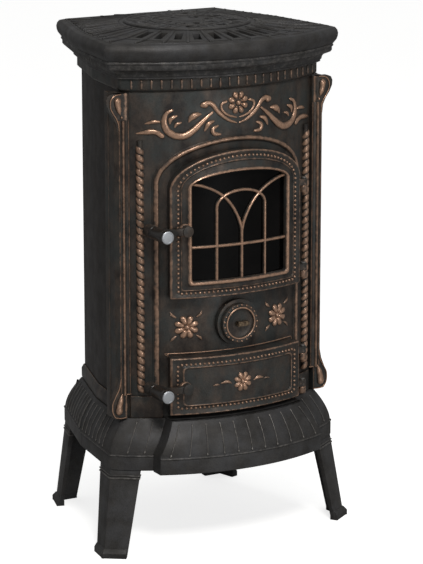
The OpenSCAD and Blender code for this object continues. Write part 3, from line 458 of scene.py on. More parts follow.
def pearl_tree():
    """Pearls along an outline."""
    tree, given = new_tree("Pearls along an outline",
                           [("Radius", "Float"), ("Pitch", "Float"), ("Finish", "Material")])
    line = put(tree, "GeometryNodeMeshToCurve", {"Mesh": given["Geometry"]})
    marks = put(tree, "GeometryNodeResampleCurve",
                {"Curve": line.outputs[0], "Length": given["Pitch"]}, mode="LENGTH")
    dots = put(tree, "GeometryNodeCurveToPoints", {"Curve": marks.outputs[0]}, mode="EVALUATED")
    ball = put(tree, "GeometryNodeMeshIcoSphere", {"Radius": given["Radius"], "Subdivisions": 2})
    grown = put(tree, "GeometryNodeInstanceOnPoints",
                {"Points": dots.outputs["Points"], "Instance": ball.outputs["Mesh"]})
    real = put(tree, "GeometryNodeRealizeInstances", {"Geometry": grown.outputs[0]})
    rubbed = put(tree, "GeometryNodeStoreNamedAttribute",
                 {"Geometry": real.outputs[0], "Name": "rub", "Value": PEARL_WEAR},
                 data_type="FLOAT", domain="POINT")
    skinned = put(tree, "GeometryNodeSetMaterial",
                  {"Geometry": rubbed.outputs[0], "Material": given["Finish"]})
    put(tree, "NodeGroupOutput", {"Geometry": skinned.outputs[0]})
    return tree


def repeat_tree():
    """Copies of one shape, each stepped on and turned about an upright line."""
    tree, given = new_tree("Repeats of one shape",
                           [("Count", "Int"), ("Step", "Vector"), ("Turn", "Float"),
                            ("Centre", "Vector"), ("Finish", "Material")])
    back = put(tree, "ShaderNodeVectorMath", {0: given["Centre"], "Scale": -1.0},
               operation="SCALE")
    moved = put(tree, "GeometryNodeTransform", {"Geometry": given["Geometry"],
                                                "Translation": back.outputs[0]})
    marks = put(tree, "GeometryNodeMeshLine", {"Count": given["Count"],
                                               "Start Location": given["Centre"],
                                               "Offset": given["Step"]}, mode="OFFSET")
    number = put(tree, "GeometryNodeInputIndex")
    turn = put(tree, "ShaderNodeMath", {0: number.outputs[0], 1: given["Turn"]},
               operation="MULTIPLY")
    about = put(tree, "ShaderNodeCombineXYZ", {"Z": turn.outputs[0]})
    grown = put(tree, "GeometryNodeInstanceOnPoints",
                {"Points": marks.outputs[0], "Instance": moved.outputs[0],
                 "Rotation": about.outputs[0]})
    real = put(tree, "GeometryNodeRealizeInstances", {"Geometry": grown.outputs[0]})
    skinned = put(tree, "GeometryNodeSetMaterial",
                  {"Geometry": real.outputs[0], "Material": given["Finish"]})
    put(tree, "NodeGroupOutput", {"Geometry": skinned.outputs[0]})
    return tree


def grown(tree_name, maker, seeds, slot):
    """Runs a tree on each seed mesh and returns one plain mesh of all the results."""
    tree = bpy.data.node_groups.get(tree_name) or maker()
    names = {i.name: i.identifier for i in tree.interface.items_tree if i.in_out == "INPUT"}
    whole = bmesh.new()
    for mesh, values in seeds:
        obj = bpy.data.objects.new("seed", mesh)
        bpy.context.collection.objects.link(obj)
        modifier = obj.modifiers.new("Repeats", "NODES")
        modifier.node_group = tree
        for label, value in dict(values, Finish=bpy.data.materials[FINISHES[slot]]).items():
            modifier[names[label]] = value
        result = bpy.data.meshes.new_from_object(
            obj.evaluated_get(bpy.context.evaluated_depsgraph_get()))
        obj.modifiers.remove(modifier)
        whole.from_mesh(result)
        bpy.data.objects.remove(obj)
        bpy.data.meshes.remove(result)
    return as_mesh(whole, "grown")


def pearls(name, points, place, pitch, radius, body, slot):
    """Pearls round a closed outline on a surface, pitch and radius in metres."""
    outline = bpy.data.meshes.new("outline")
    n = len(points)
    outline.from_pydata([place(p[0], p[1], 0.0) for p in points],
                        [(i, (i + 1) % n) for i in range(n)], [])
    mesh = grown("Pearls along an outline", pearl_tree,
                 [(outline, {"Radius": radius, "Pitch": pitch})], slot)
    return finished(name, mesh, body, slot, sharp=0)


def repeats(name, seeds, body, slot, sharp=38):
    """Copies of each seed's shape, in steps along a line or turns about one."""
    mesh = grown("Repeats of one shape", repeat_tree, seeds, slot)
    return finished(name, mesh, body, slot, sharp)


# ---------- Finishes ----------


def new_material(name):
    material = bpy.data.materials.new(name)
    material.use_nodes = True
    tree = material.node_tree
    tree.nodes.clear()
    shader = put(tree, "ShaderNodeBsdfPrincipled")
    put(tree, "ShaderNodeOutputMaterial", {"Surface": shader.outputs[0]})
    where = put(tree, "ShaderNodeTexCoord").outputs["Object"]
    return tree, shader, where


def cloud(tree, where, size, detail=4.0, rough=0.55, stretch=(1, 1, 1), seed=0.0):
    """Soft clouds of a real size in millimetres."""
    at = put(tree, "ShaderNodeMapping", {"Vector": where, "Scale": stretch,
                                         "Location": (seed, seed * 1.7, seed * 0.6)})
    return put(tree, "ShaderNodeTexNoise", {"Vector": at.outputs[0], "Scale": 1000.0 / size,
                                            "Detail": detail, "Roughness": rough}).outputs["Fac"]


def spread(tree, value, low, high, to_low=0.0, to_high=1.0):
    return put(tree, "ShaderNodeMapRange", {"Value": value, "From Min": low, "From Max": high,
                                            "To Min": to_low, "To Max": to_high}).outputs[0]


def blend(tree, factor, one, two, kind="MIX"):
    return put(tree, "ShaderNodeMix", {0: factor, 6: one, 7: two}, data_type="RGBA",
               blend_type=kind).outputs[2]


def bump(tree, strength, depth, height, **more):
    """Fine relief, with its depth in millimetres."""
    return put(tree, "ShaderNodeBump", {"Strength": strength, "Distance": depth * MM,
                                        "Height": height, **more}).outputs[0]


def iron_finish(name, base, dark, cool, worn, grain, cool_amount, rough, metal, worn_metal,
                worn_rough, streak=(1, 1, 1)):
    """Cast iron: clouded by its patina, sand-cast grain, and brighter metal where it is rubbed."""
    tree, shader, where = new_material(name)
    clouds = spread(tree, cloud(tree, where, 30, 6, 0.64, streak, 3.1), 0.36, 0.64)
    body = blend(tree, clouds, dark, base)
    bloom = cloud(tree, where, 38, 5, 0.62, streak, 9.4)
    body = blend(tree, spread(tree, bloom, 0.42, 0.62, 0.0, cool_amount), body, cool)
    speckle = spread(tree, cloud(tree, where, 2.4, 3, 0.7), 0.3, 0.7, 0.78, 1.22)
    grey = put(tree, "ShaderNodeCombineColor", {0: speckle, 1: speckle, 2: speckle}).outputs[0]
    body = blend(tree, 1.0, body, grey, "MULTIPLY")
    # Bright metal follows how far a point is rubbed, broken up in patches
    rub = put(tree, "ShaderNodeAttribute", attribute_name="rub").outputs["Fac"]
    patches = spread(tree, cloud(tree, where, 9, 4, 0.6, seed=5.5), 0.3, 0.7, -0.22, 0.22)
    patchy = put(tree, "ShaderNodeMath", {0: rub, 1: patches}, operation="ADD").outputs[0]
    mask = spread(tree, patchy, 0.35, 0.95)
    stain = spread(tree, cloud(tree, where, 6, 3, 0.6, seed=1.2), 0.3, 0.7)
    bare = blend(tree, stain, worn, darker(worn, 0.72))
    dull = spread(tree, cloud(tree, where, 30, 4, 0.6, seed=7.7), 0.3, 0.7, rough - 0.07,
                  rough + 0.08)
    shine = put(tree, "ShaderNodeMix", {0: mask, 2: dull, 3: worn_rough}, data_type="FLOAT")
    sand = bump(tree, 0.35, grain * 0.25, cloud(tree, where, grain, 3, 0.6))
    wave = bump(tree, 0.25, 0.8, cloud(tree, where, 26, 3, 0.5, seed=2.2), Normal=sand)
    feed(tree, shader, {"Base Color": blend(tree, mask, body, bare), "Normal": wave,
                        "Metallic": spread(tree, mask, 0, 1, metal, worn_metal),
                        "Roughness": shine.outputs[0], "Specular IOR Level": 0.4})


def two_tone(name, clouds, one, two, limits=None, **inputs):
    """A finish of two tones in clouds; gives back what a finer finish goes on from."""
    tree, shader, where = new_material(name)
    factor = cloud(tree, where, *clouds)
    if limits:
        factor = spread(tree, factor, *limits)
    feed(tree, shader, {"Base Color": blend(tree, factor, linear(one), linear(two))})
    feed(tree, shader, {key.replace("_", " "): value for key, value in inputs.items()})
    return tree, shader, where, factor


class StoveFinishes(bpy.types.Operator):
    """Makes the finishes of the stove and gives them to the solids that stay as they are"""
    bl_idname = "stove.finishes"
    bl_label = "Finishes"

    def execute(self, context):
        f = context.scene.stove_finish
        # Grey iron under a brown-black bronze patina, hand-rubbed: warm clouds, blue-grey bloom,
        # and copper-coloured metal on every crest
        iron_finish("Patinated cast iron", f.field[:], f.field_dark[:], f.field_cool[:],
                    f.copper[:], grain=2.2, cool_amount=0.8, rough=0.44, metal=0.4,
                    worn_metal=0.62, worn_rough=0.27, streak=(1, 1, 0.7))
        # Blackleaded grey iron: even, cooler, with grey metal on worn edges
        iron_finish("Blackleaded cast iron", f.iron[:], darker(f.iron, 0.6), linear("#4c4d50"),
                    f.iron_worn[:], grain=2.6, cool_amount=0.4, rough=0.52, metal=0.35,
                    worn_metal=0.6, worn_rough=0.4)
        # Plain side plates: matt brown-black with long upright clouds from brushing
        iron_finish("Brown-black plate iron", f.side[:], darker(f.side, 0.62),
                    linear("#3a3b3e"), f.iron_worn[:], grain=2.8, cool_amount=0.25, rough=0.58,
                    metal=0.2, worn_metal=0.5, worn_rough=0.45, streak=(1.6, 1.6, 0.35))
        # Plates inside the firebox and under the top: near-black, partly dry soot and partly
        # painted shade that keeps the unlit inside dark through the slots
        two_tone("Sooted and shade-darkened plate iron", (20, 5), "#0c0b0a", "#1f1c19", Roughness=0.88,
                 Specular_IOR_Level=0.15)
        # Phenolic grip, turned and polished: near-black with a soft wide sheen
        two_tone("Black phenolic", (12, 3), "#171412", "#262320", Roughness=0.34,
                 Coat_Weight=0.25)
        # Aluminium disc, faced on a lathe: pale and scratched
        tree, shader, _, scratch = two_tone(
            "Faced aluminium", (3, 6, 0.8, (1, 1, 6)), "#8f9296", "#d3d6d9", Metallic=0.85)
        feed(tree, shader, {"Roughness": spread(tree, scratch, 0.3, 0.7, 0.28, 0.5)})
        # Brass tab, dulled by fingers
        two_tone("Dulled brass", (5, 4), "#4d4034", "#8f7c65", (0.35, 0.65), Metallic=0.8,
                 Roughness=0.42)
        # Steel fasteners with a dull zinc coat
        two_tone("Zinc-coated steel", (4, 4), "#5c5b59", "#8d8b88", Metallic=0.75,
                 Roughness=0.45)
        # Heat-proof glass: near-black and nearly opaque, partly smoked by the fire in wide clouds
        # of soot and partly painted shade of the unlit firebox behind it
        two_tone("Smoked and shade-darkened stove glass", (70, 4, 0.6), "#020202", "#0d0b0a", (0.35, 0.7),
                 Roughness=0.12, Transmission_Weight=0.06, Specular_IOR_Level=0.12)
        # Vermiculite firebrick: porous, buff, sooted in clouds
        tree, shader, where, _ = two_tone(
            "Firebrick", (60, 5), "#4a4038", "#a89070", (0.35, 0.65), Roughness=0.9)
        feed(tree, shader, {"Normal": bump(tree, 0.6, 0.6, cloud(tree, where, 3.5, 3, 0.7))})
        # Woven glass-fibre sealing strip: matt grey, 3 mm braid
        tree, shader, where = new_material("Glass-fibre seal")
        braid = put(tree, "ShaderNodeTexWave", {"Vector": where, "Scale": 105.0,
                                                "Distortion": 1.5},
                    bands_direction="DIAGONAL").outputs["Fac"]
        feed(tree, shader, {"Base Color": blend(tree, braid, linear("#2f2f2f"),
                                                linear("#5d5c58")),
                            "Roughness": 0.85, "Normal": bump(tree, 0.5, 0.5, braid)})
        for part in frame["record"]["subparts"]:
            mesh = frame["nodes"][part["node"]].data
            # Parts inside the firebox take the near-black iron: soot, and painted shade of the
            # unlit inside
            inside = part["node"].startswith("firebox_") or part["node"] in ("baffle", "grate")
            name = "Sooted and shade-darkened plate iron" if inside else FINISHES[part["material_slot"]]
            mesh.materials.clear()
            mesh.materials.append(bpy.data.materials[name])
        return {"FINISHED"}


# ---------- Legs, skirt and apron ----------


class StoveLegs(bpy.types.Operator):
    """Angle-section legs with softened edges and a double lip under the skirt"""
    bl_idname = "stove.legs"
    bl_label = "Legs"

    def execute(self, context):
        for name in ("leg_front_left", "leg_front_right", "leg_back_left", "leg_back_right"):
            from_solid(name, name + "_casting", "stove", "iron_dark", 1.4)
            self.lips(name)
        from_solid("leg_bolts", "leg_bolt_heads", "stove", "steel", 0.5)
        return {"FINISHED"}

    def lips(self, node):
        """Two thin bands round the outside of a leg, cut from the leg and swelled."""
        whole = bmesh.new()
        rub = whole.verts.layers.float.new("rub")
        for low, high, swell_by in ((146.5, 149.5, 1.6), (152.5, 153.9, 2.0)):
            cut = solid_shape(node)
            for z, way in ((low, -1), (high, 1)):
                bmesh.ops.bisect_plane(cut, geom=cut.verts[:] + cut.edges[:] + cut.faces[:],
                                       plane_co=(0, 0, z * MM), plane_no=(0, 0, way),
                                       clear_outer=True)
                edges = [e for e in cut.edges if len(e.link_faces) < 2]
                bmesh.ops.holes_fill(cut, edges=edges)
            moves = {}
            for v in cut.verts:
                normals = [f.normal for f in v.link_faces if abs(f.normal.z) < 0.7]
                flat = sum((Vector((n.x, n.y, 0)).normalized() for n in normals), Vector())
                moves[v] = flat.normalized() * swell_by * MM * 1.2 if flat.length > 1e-6 else flat
            for v, move in moves.items():
                v.co += move
            bmesh.ops.bevel(cut, geom=cut.edges[:], offset=0.5 * MM, segments=1, affect="EDGES",
                            clamp_overlap=True)
            mesh = as_mesh(cut, "lip")
            whole.from_mesh(mesh)
            bpy.data.meshes.remove(mesh)
        for v in whole.verts:
            v[rub] = 0.6
        bmesh.ops.recalc_face_normals(whole, faces=whole.faces)
        finished(node + "_lips", as_mesh(whole, node + "_lips"), "stove", "iron_dark")


def flare(out_low, z_low, out_high, z_high, steps=16):
    """The hollow sweep of the skirt, from its foot to its top."""
    return [(out_high + (out_low - out_high) * (1 - (i / steps) ** 1.6),
             z_low + (z_high - z_low) * i / steps) for i in range(steps + 1)]


# The upright band below each flare: how far out it stands and how high, from its foot up
SKIRT_BAND = [(36, 163), (37.5, 164.5), (37.5, 187.5), (36.9, 189), (38.3, 190.2), (38.7, 191.6),
              (38.0, 193.2), (36.3, 194)]
APRON_BAND = [(62.8, 162), (64.3, 163.5), (64.3, 188.5), (63.8, 190), (65.1, 191.2), (65.4, 192.8),
              (64.8, 194.4), (63.8, 195.2)]
# Thickness of the skirt and the apron, and how high the straight of a rib reaches
WALL = 6
RIB_FOOT, RIB_TOP = 201.0, 247.0
# Half of the apron's width at the foot and the top of its flare, and how high these are
CHEEK_WIDE, CHEEK_NARROW = 173.5, 139.0
CHEEK_FOOT, CHEEK_TOP, CHEEK_WALL = 197, 255, 4.5


def flare_out(profile, z):
    """How far out a flare stands at a height."""
    for (a, za), (b, zb) in zip(profile, profile[1:]):
        if za <= z <= zb:
            return a + (b - a) * (z - za) / (zb - za)
    return profile[-1][0]


def rib(place):
    """The shape of a fine upright rib with a bud at each end."""
    casting = Casting()
    casting.ridge([(0, z) for z in (RIB_FOOT, (RIB_FOOT + RIB_TOP) / 2, RIB_TOP)], 1.9, 1.5, place,
                  0.8, steps=8, across=6)
    casting.dome(0, RIB_FOOT - 2.5, 2.0, 3.2, 1.9, place, rub=1.0, around=10, rings=3)
    casting.dome(0, RIB_TOP + 1.8, 1.7, 2.4, 1.7, place, rub=0.9, around=10, rings=3)
    return casting.closed()


class StoveSkirt(bpy.types.Operator):
    """Flared skirt and the ash apron that stands out from it, with their fine ribs"""
    bl_idname = "stove.skirt"
    bl_label = "Skirt and apron"

    def execute(self, context):
        self.sweep = flare(36, 194, 8, 254.5)
        outer = SKIRT_BAND + self.sweep[1:] + [(7.2, 255.6), (6, 256)]
        inner = [(o - WALL, z) for o, z in reversed(self.sweep)] + [(31.5, 191), (31.5, 163)]
        casting = Casting()
        profile = outer + [(1.8, 256)] + inner
        rubs = [0.0, 0.1, 0.0, 0.0, 0.3, 0.55, 0.3, 0.0] + [0.0] * len(self.sweep[1:]) + [0.3, 0.2]
        rubs += [0.0] * (len(profile) - len(rubs))
        casting.hoop(profile, rubs)
        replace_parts(casting.piece("skirt_casting", "stove", "iron_dark", 28), "base_skirt")
        self.apron()
        self.ribs(context.scene.stove_sizes)
        return {"FINISHED"}

    def cheek(self, z):
        """Half of the apron's width, which narrows with the flare."""
        rise = min(max((z - CHEEK_FOOT) / (CHEEK_TOP - CHEEK_FOOT), 0.0), 1.0)
        return CHEEK_WIDE - (CHEEK_WIDE - CHEEK_NARROW) * rise

    def across(self, z, out, share, inset):
        """A point of the apron, by its share of the way from the middle to near a cheek."""
        return at_turn(share * asin((self.cheek(z) - inset) / (BOW_R + out)), z, out)

    def apron(self):
        """The apron's bowed shell, the tray along its top and its two cheeks."""
        self.apron_sweep = flare(63.8, 195.2, 34, 255.5)
        outer = APRON_BAND + self.apron_sweep[1:] + [(33.2, 257.2), (31.5, 258)]
        wall = [(28, 258), (28, 254)]
        wall += [(o - WALL, z - 2) for o, z in reversed(self.apron_sweep[:-2])]
        wall += [(58.5, 190), (58.5, 162)]
        casting = Casting()
        steps = 64
        shares = [2 * i / steps - 1 for i in range(steps + 1)]
        shell = outer + wall
        rubs = [0.0, 0.1, 0.0, 0.0, 0.3, 0.6, 0.3, 0.0] + [0.0] * (len(outer) - 10) + [0.5, 0.4]
        rubs += [0.0] * (len(shell) - len(rubs))
        casting.skin([[self.across(z, o, t, 0.1) for o, z in shell] for t in shares],
                     [rubs] * len(shares))
        top = [(34, 255.5), (33.2, 257.2), (31.5, 258), (4.5, 258), (4.5, 256.4), (9.5, 256.2)]
        casting.skin([[self.across(z, o, t, 0.1) for o, z in top] for t in shares],
                     [[0.3] * 6] * len(shares))
        levels = [(63.2, 162.3, 40.2)]
        levels += [(o - 0.1, z, flare_out(SKIRT_BAND + self.sweep[1:], z) + 2.2)
                   for o, z in outer[1:-2] if z < 254]
        levels.append((34.0, 255.6, 10.8))
        for way in (-1, 1):
            casting.skin([[self.across(z, o, way, w) for o, w in
                           ((out, 0.0), (foot, 0.0), (foot, CHEEK_WALL),
                            (out - 0.4, CHEEK_WALL))]
                          for out, z, foot in levels])
        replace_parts(casting.piece("apron_casting", "stove", "iron_dark", 28), "hearth_apron")

    def ribs(self, sizes):
        """Ribs that lean with the flare in front, and upright ones on the sides and the back."""
        turn = sizes.rib_turn
        seeds = []

        def on_sweep(sweep, top, foot):
            """On a flare, with the rib leaning from its top's turn to its foot's."""
            def place(x, z, h):
                out = flare_out(sweep, z) + h
                lean = (foot - top) * (RIB_TOP - z) / (RIB_TOP - RIB_FOOT)
                return at_turn(top + lean + x / (BOW_R + out), z, out)
            return place
        # Each flare, with the rib's turn at its top and at its foot in degrees
        leaning = [(self.apron_sweep, top, foot)
                   for top, foot in ((19.8, 22.2), (16.0, 17.3), (12.1, 12.6))]
        leaning += [(self.sweep, 26.9, 29.1), (self.sweep, 31.7, 33.8)]
        about = {"Turn": turn, "Step": (0, 0, 0), "Centre": (0, BOW_CY * MM, 0)}
        middle = rib(on_sweep(self.apron_sweep, -2 * turn, -2 * turn))
        seeds.append((middle, dict(about, Count=5)))
        for sweep, top, foot in leaning:
            for way in (-1, 1):
                shape = rib(on_sweep(sweep, way * radians(top), way * radians(foot)))
                seeds.append((shape, dict(about, Count=1)))
        step = sizes.side_rib
        for (turned, reach), ways, first, count in (
                (SIDE, (-1, 1), -110, 8), (REAR, (-1, 1), 0, 8), (BACK, (1,), -152, 17)):
            for way in ways:
                n = Vector((way * cos(turned), sin(turned), 0))
                t = Vector((-way * sin(turned), cos(turned), 0))
                shape = rib(lambda x, z, h: (n * (reach + flare_out(self.sweep, z) + h)
                                             + t * (first + x) + Vector((0, 0, z))) * MM)
                seeds.append((shape, {"Count": count, "Turn": 0.0, "Step": t * step,
                                      "Centre": (0, 0, 0)}))
        repeats("skirt_ribs", seeds, "stove", "iron_dark")


# ---------- Body, mouldings and ornament ----------

# The roll round the doors: its half-width and foot, where its sides stop being straight, and the
# spring and rise of its arch
ROLL_HALF, ROLL_FOOT, ROLL_STRAIGHT, ROLL_SPRING, ROLL_RISE = 150, 299, 690, 698, 78


class StoveBody(bpy.types.Operator):
    """Front plate, plinth, the roll round the doors and the plates' soft edges"""
    bl_idname = "stove.body"
    bl_label = "Body"

    def execute(self, context):
        from_solid("front_plate", "front_casting", "stove", "iron_bronzed", 1.0)
        from_solid("base_moulding", "plinth_casting", "stove", "iron_bronzed", 1.2)
        for side in ("left", "right"):
            from_solid("side_" + side, "side_plate_" + side, "stove", "iron_plain", 0.8, sharp=40)
        from_solid("back_panel", "back_plate", "stove", "iron_plain", 0.8)
        self.roll()
        return {"FINISHED"}

    def roll(self):
        """Bronze roll on a low step, open where the hinge arms pass."""
        casting = Casting()
        left = [(-ROLL_HALF, z) for z in range(ROLL_FOOT, ROLL_STRAIGHT, 16)]
        over = [(-ROLL_HALF * cos(pi * i / 44), ROLL_SPRING + ROLL_RISE * sin(pi * i / 44))
                for i in range(45)]
        # On the right, what is left between the hinge arms, and what joins the arch
        spans, low = [], ROLL_FOOT
        for z in ASH_HINGES + FIRE_HINGES:
            if z - 2.5 - low > 4:
                spans.append((low, z - 2.5))
            low = z + 15.5
        last = [(ROLL_HALF, low + (ROLL_STRAIGHT - low) * i / 4) for i in range(4, -1, -1)]
        right = [[(ROLL_HALF, a + (b - a) * i / 12) for i in range(13)] for a, b in spans]
        for width, height, rub in ((12.4, 2.4, 0.0), (9.4, 6.0, 0.7)):
            for line in right + [left + over + last]:
                casting.ridge(line, width, height, front(0), rub, steps=1, across=10, blunt=True)
        # Raised line above the ash door
        line = [(-128, 372.5), (-134, 375), (-136, 377.3)]
        line += [(x, 377.6) for x in range(-130, 131, 10)] + [(136, 377.3), (138, 372)]
        casting.ridge(line, 2.4, 1.6, front(0), 0.9, steps=1)
        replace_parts(casting.piece("arch_roll", "stove", "iron_bronzed"), "arch_bead")


# Strokes of the scrolls above the arch: points right of the middle, width and height along it
SCROLLS = [
    ([(52, 827), (68, 814.5), (83, 800.5), (96, 790.5), (108, 786), (122, 788), (134.5, 797.5),
      (139.5, 813), (136, 828), (126, 834)], (4.4, 12.6, 5.2), (2.4, 6.0, 3.0)),
    ([(69.5, 842), (60, 845), (51, 840.5), (44, 831), (35, 821.5), (20.5, 811), (3.5, 804.5)],
     (10.5, 7.4, 3.0), (5.0, 4.0, 2.0)),
    ([(25, 845), (34, 841), (33.5, 831), (22.5, 820.5), (4, 814.5)], (5.2, 4.8, 2.8),
     (3.0, 3.0, 2.0)),
    ([(118, 823.5), (128, 818.5), (129.5, 810)], (3.6, 7.6, 3.4), (2.0, 4.0, 2.0)),
    ([(110, 811), (118, 808.5), (120.5, 803.5)], (3.0, 5.8, 3.0), (1.8, 3.4, 1.8)),
    ([(75, 825), (83.5, 824), (92, 819), (95.5, 812.5)], (4.4, 11.6, 3.6), (2.4, 5.4, 2.2)),
    ([(143, 787), (152, 794), (163, 795.5), (184, 792)], (8.4, 9.8, 1.6), (4.0, 5.0, 1.0)),
    ([(148, 813.5), (158, 813.5), (170, 810)], (5.0, 6.6, 1.6), (2.6, 3.4, 1.0)),
    ([(50, 810.5), (60, 806), (66.5, 794.5)], (4.0, 8.4, 3.8), (2.2, 4.2, 2.2)),
    ([(42, 801.5), (51.5, 796), (49, 787.5), (37, 785.5)], (4.2, 8.0, 5.0), (2.2, 4.2, 2.6)),
]
SCROLL_WIDTH = 1.14
# How far right of the middle the scrolls sit
CREST_SHIFT = 4


def rosette(casting, x, z, reach, place, petal_height, bud, root=0.22):
    """Eight drop-shaped petals, wide ends outwards, round a bud."""
    for i in range(8):
        a = pi / 8 + i * pi / 4
        inner, outer = reach * root, reach * 0.74
        line = [(x + r * cos(a), z + r * sin(a)) for r in (inner, (inner + outer) / 2, outer)]
        casting.ridge(smooth(line, 4), (reach * 0.2, reach * 0.46, reach * 0.58),
                      (petal_height * 0.35, petal_height, petal_height * 0.92), place, steps=1)
    casting.dome(x, z, bud, bud, petal_height * 1.15, place, rub=1.0)


class StoveOrnament(bpy.types.Operator):
    """Scrolls above the arch and the rosettes of the front"""
    bl_idname = "stove.ornament"
    bl_label = "Front ornament"

    def execute(self, context):
        casting = Casting()
        place = front(0)

        def crest(x, z, h):
            return on_bow(x + CREST_SHIFT, z, h)
        for points, width, height in SCROLLS:
            width = tuple(w * SCROLL_WIDTH for w in width)
            for way in (-1, 1):
                casting.ridge([(way * x, z) for x, z in points], width, height, crest, steps=6)
        for way in (-1, 1):
            casting.dome(way * 66.5, 841.5, 6.6, 6.0, 5.6, crest)
        rosette(casting, 0, 841.5, 21, crest, 5.2, 5.4, 0.42)
        for way in (-1, 1):
            x = way * 97
            rosette(casting, x, 427, 22, place, 5.6, 5.6)
            for sx, sz in ((-1, 1), (1, 1), (-1, -1), (1, -1)):
                line = [(x + sx * u, 428 + sz * v)
                        for u, v in ((19.5, 18), (25.5, 22.5), (29, 28))]
                casting.ridge(line, (3.4, 6.2, 1.2), (1.6, 2.8, 0.6), place, 0.75)
        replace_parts(casting.piece("scrollwork", "stove", "iron_bronzed"), "front_ornament")
        return {"FINISHED"}


# Where the pilasters' beads and drops stand, forwards and back
PILASTER_Y = -118.5
# Seen from above: the face of the right pilaster from its inner to its outer edge
PILASTER_FACE = [(194, -119.6), (195.4, -121.4), (197.0, -119.4), (199.5, -118.6),
                 (203.2, -119.6), (204.6, -122.0), (206.4, -123.3), (208.4, -122.0),
                 (209.6, -119.2), (211.6, -118.4), (212.8, -119.9), (214.2, -121.0),
                 (215.8, -119.0), (221, -111.5)]
# How far each point of that face is rubbed
PILASTER_RUBS = [0.4, 1.0, 0.2, 0.0, 0.2, 0.8, 1.0, 0.8, 0.1, 0.0, 0.5, 0.9, 0.2, 0.1]
# Outlines of the flat heads at the pilaster's ends
PILASTER_HEADS = ([(203, 257), (205, 256.9), (226, 257.5), (231.5, 265), (233.4, 276),
                   (231.5, 290), (226.5, 303), (220.5, 318), (217, 336), (203, 336)],
                  [(203, 797), (217.5, 797), (219, 812), (224.5, 824), (233, 836),
                   (238.6, 848), (239.2, 857), (236, 864), (229, 867), (203, 867)])
# Beads of the ears, a line across and the two drops: points, width, height and how they are made
PILASTER_RIDGES = (
    ([(214, 800), (215.5, 812), (219.5, 822), (226.5, 833), (231.5, 845), (230, 857),
      (222.5, 864.5), (210, 866)], 2.6, 2.4, {}),
    ([(214, 334), (215.2, 326), (218.2, 314), (225.8, 300), (231.4, 288), (231.6, 273),
      (226.5, 262), (217, 258.4), (204, 258.6)], 2.6, 2.4, {}),
    ([(194, 302.6), (201, 302.8)], 2.6, 2.2, {"rub": 0.9, "steps": 2}),
    ([(211.5, 829), (213.5, 836), (216, 845), (216.8, 853.5)], (2.0, 11.5, 14.5),
     (1.5, 5.0, 6.0), {"rub": 0.9, "across": 12, "steps": 7}),
    ([(211.5, 304), (214, 296), (217.2, 284), (218.4, 272.5)], (2.0, 12.5, 15.5),
     (1.5, 5.0, 6.0), {"rub": 0.9, "across": 12, "steps": 7}),
)
# How far round the bow a rope is, its core's radius, its foot and its top
ROPE_X, ROPE_R, ROPE_FOOT, ROPE_TOP = 183, 5.4, 305, 779


class StovePilasters(bpy.types.Operator):
    """Reeded pilasters with eared ends and drops, and the rope mouldings beside them"""
    bl_idname = "stove.pilasters"
    bl_label = "Pilasters and ropes"

    def execute(self, context):
        for way, side in ((-1, "left"), (1, "right")):
            self.pilaster(way, side)
            self.rope(way, side, context.scene.stove_sizes.strand_pitch)
        return {"FINISHED"}

    def pilaster(self, way, side):
        casting = Casting()

        def shaft(low, high, face):
            """A length of the pilaster, with its back on the bowed front."""
            inner = face[0][0]
            section = face + [(221, bow_y(221, 0.2)), (inner + 9, bow_y(inner + 9, 0.2)),
                              (inner, bow_y(inner, 0.2))]
            rubs = [b * PILASTER_WEAR for b in PILASTER_RUBS[-len(face):]] + [0.0] * 3
            levels = [low + (high - low) * i / 6 for i in range(7)]
            casting.skin([[Vector((way * x, y, z)) * MM for x, y in section] for z in levels],
                         [rubs] * 7)

        def on_face(x, z, h):
            return Vector((way * x, PILASTER_Y - h, z)) * MM
        shaft(302, 818, PILASTER_FACE)
        shaft(818, 867, PILASTER_FACE[:4] + [(206, -118.2), (221, -111.5)])
        shaft(257, 302, [(200.6, -118.6), (201.8, -120.2), (203.4, -118.8), (206, -118.2),
                         (221, -111.5)])
        for head in PILASTER_HEADS:
            casting.skin([[Vector((way * x, y, z)) * MM for x, z in head]
                          for y in (-107.6, -118.2)], [0.1, 0.15])
        for line, width, height, more in PILASTER_RIDGES:
            casting.ridge(line, width, height, on_face, **more)
        casting.dome(209, 823.5, 2.4, 2.8, 3.2, on_face)
        piece = casting.piece("pilaster_casting_" + side, "stove", "iron_bronzed", 32)
        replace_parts(piece, "pilaster_" + side)

    def rope(self, way, side, pitch):
        """A half-round core and the strands that lean round it."""
        centre = ROPE_X / BOW_R
        axis = at_turn(way * centre, 0, 2.0)
        out = Vector((sin(way * centre), -cos(centre), 0))
        across = Vector((cos(centre), sin(way * centre), 0))

        def around(u, v, h):
            """A point of the core, u along its girth and v up."""
            a = u / ROPE_R
            return axis + ((out * cos(a) + across * sin(a)) * (ROPE_R + h)
                           + Vector((0, 0, v))) * MM
        core = Casting()
        girth = [pi * (0.5 - i / 12) * 1.06 for i in range(13)]
        rings = [[around(a * ROPE_R, z, 0) for a in girth]
                 + [axis - out * 1.9 * MM + Vector((0, 0, z)) * MM]
                 for z in (ROPE_FOOT, 420, 540, 660, 779.6)]
        core.skin(rings)
        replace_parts(core.piece("rope_core_" + side, "stove", "iron_bronzed"), "rope_" + side)
        strand = Casting()
        line = [(ROPE_R * radians(a), 312.5 + way * 6.0 * a / 84) for a in range(-84, 85, 12)]
        strand.ridge(line, (7.5, 12.4, 7.5), (2.0, 2.9, 2.0), around, 0.8, steps=1, sunk=0.4)
        count = int((ROPE_TOP - ROPE_FOOT) * MM / pitch)
        seed = (strand.closed(), {"Count": count, "Step": (0, 0, pitch), "Turn": 0.0,
                                  "Centre": (0, 0, 0)})
        repeats("rope_strands_" + side, [seed], "stove", "iron_bronzed", 50)


# ---------- Frieze, cornice, top and lid ----------

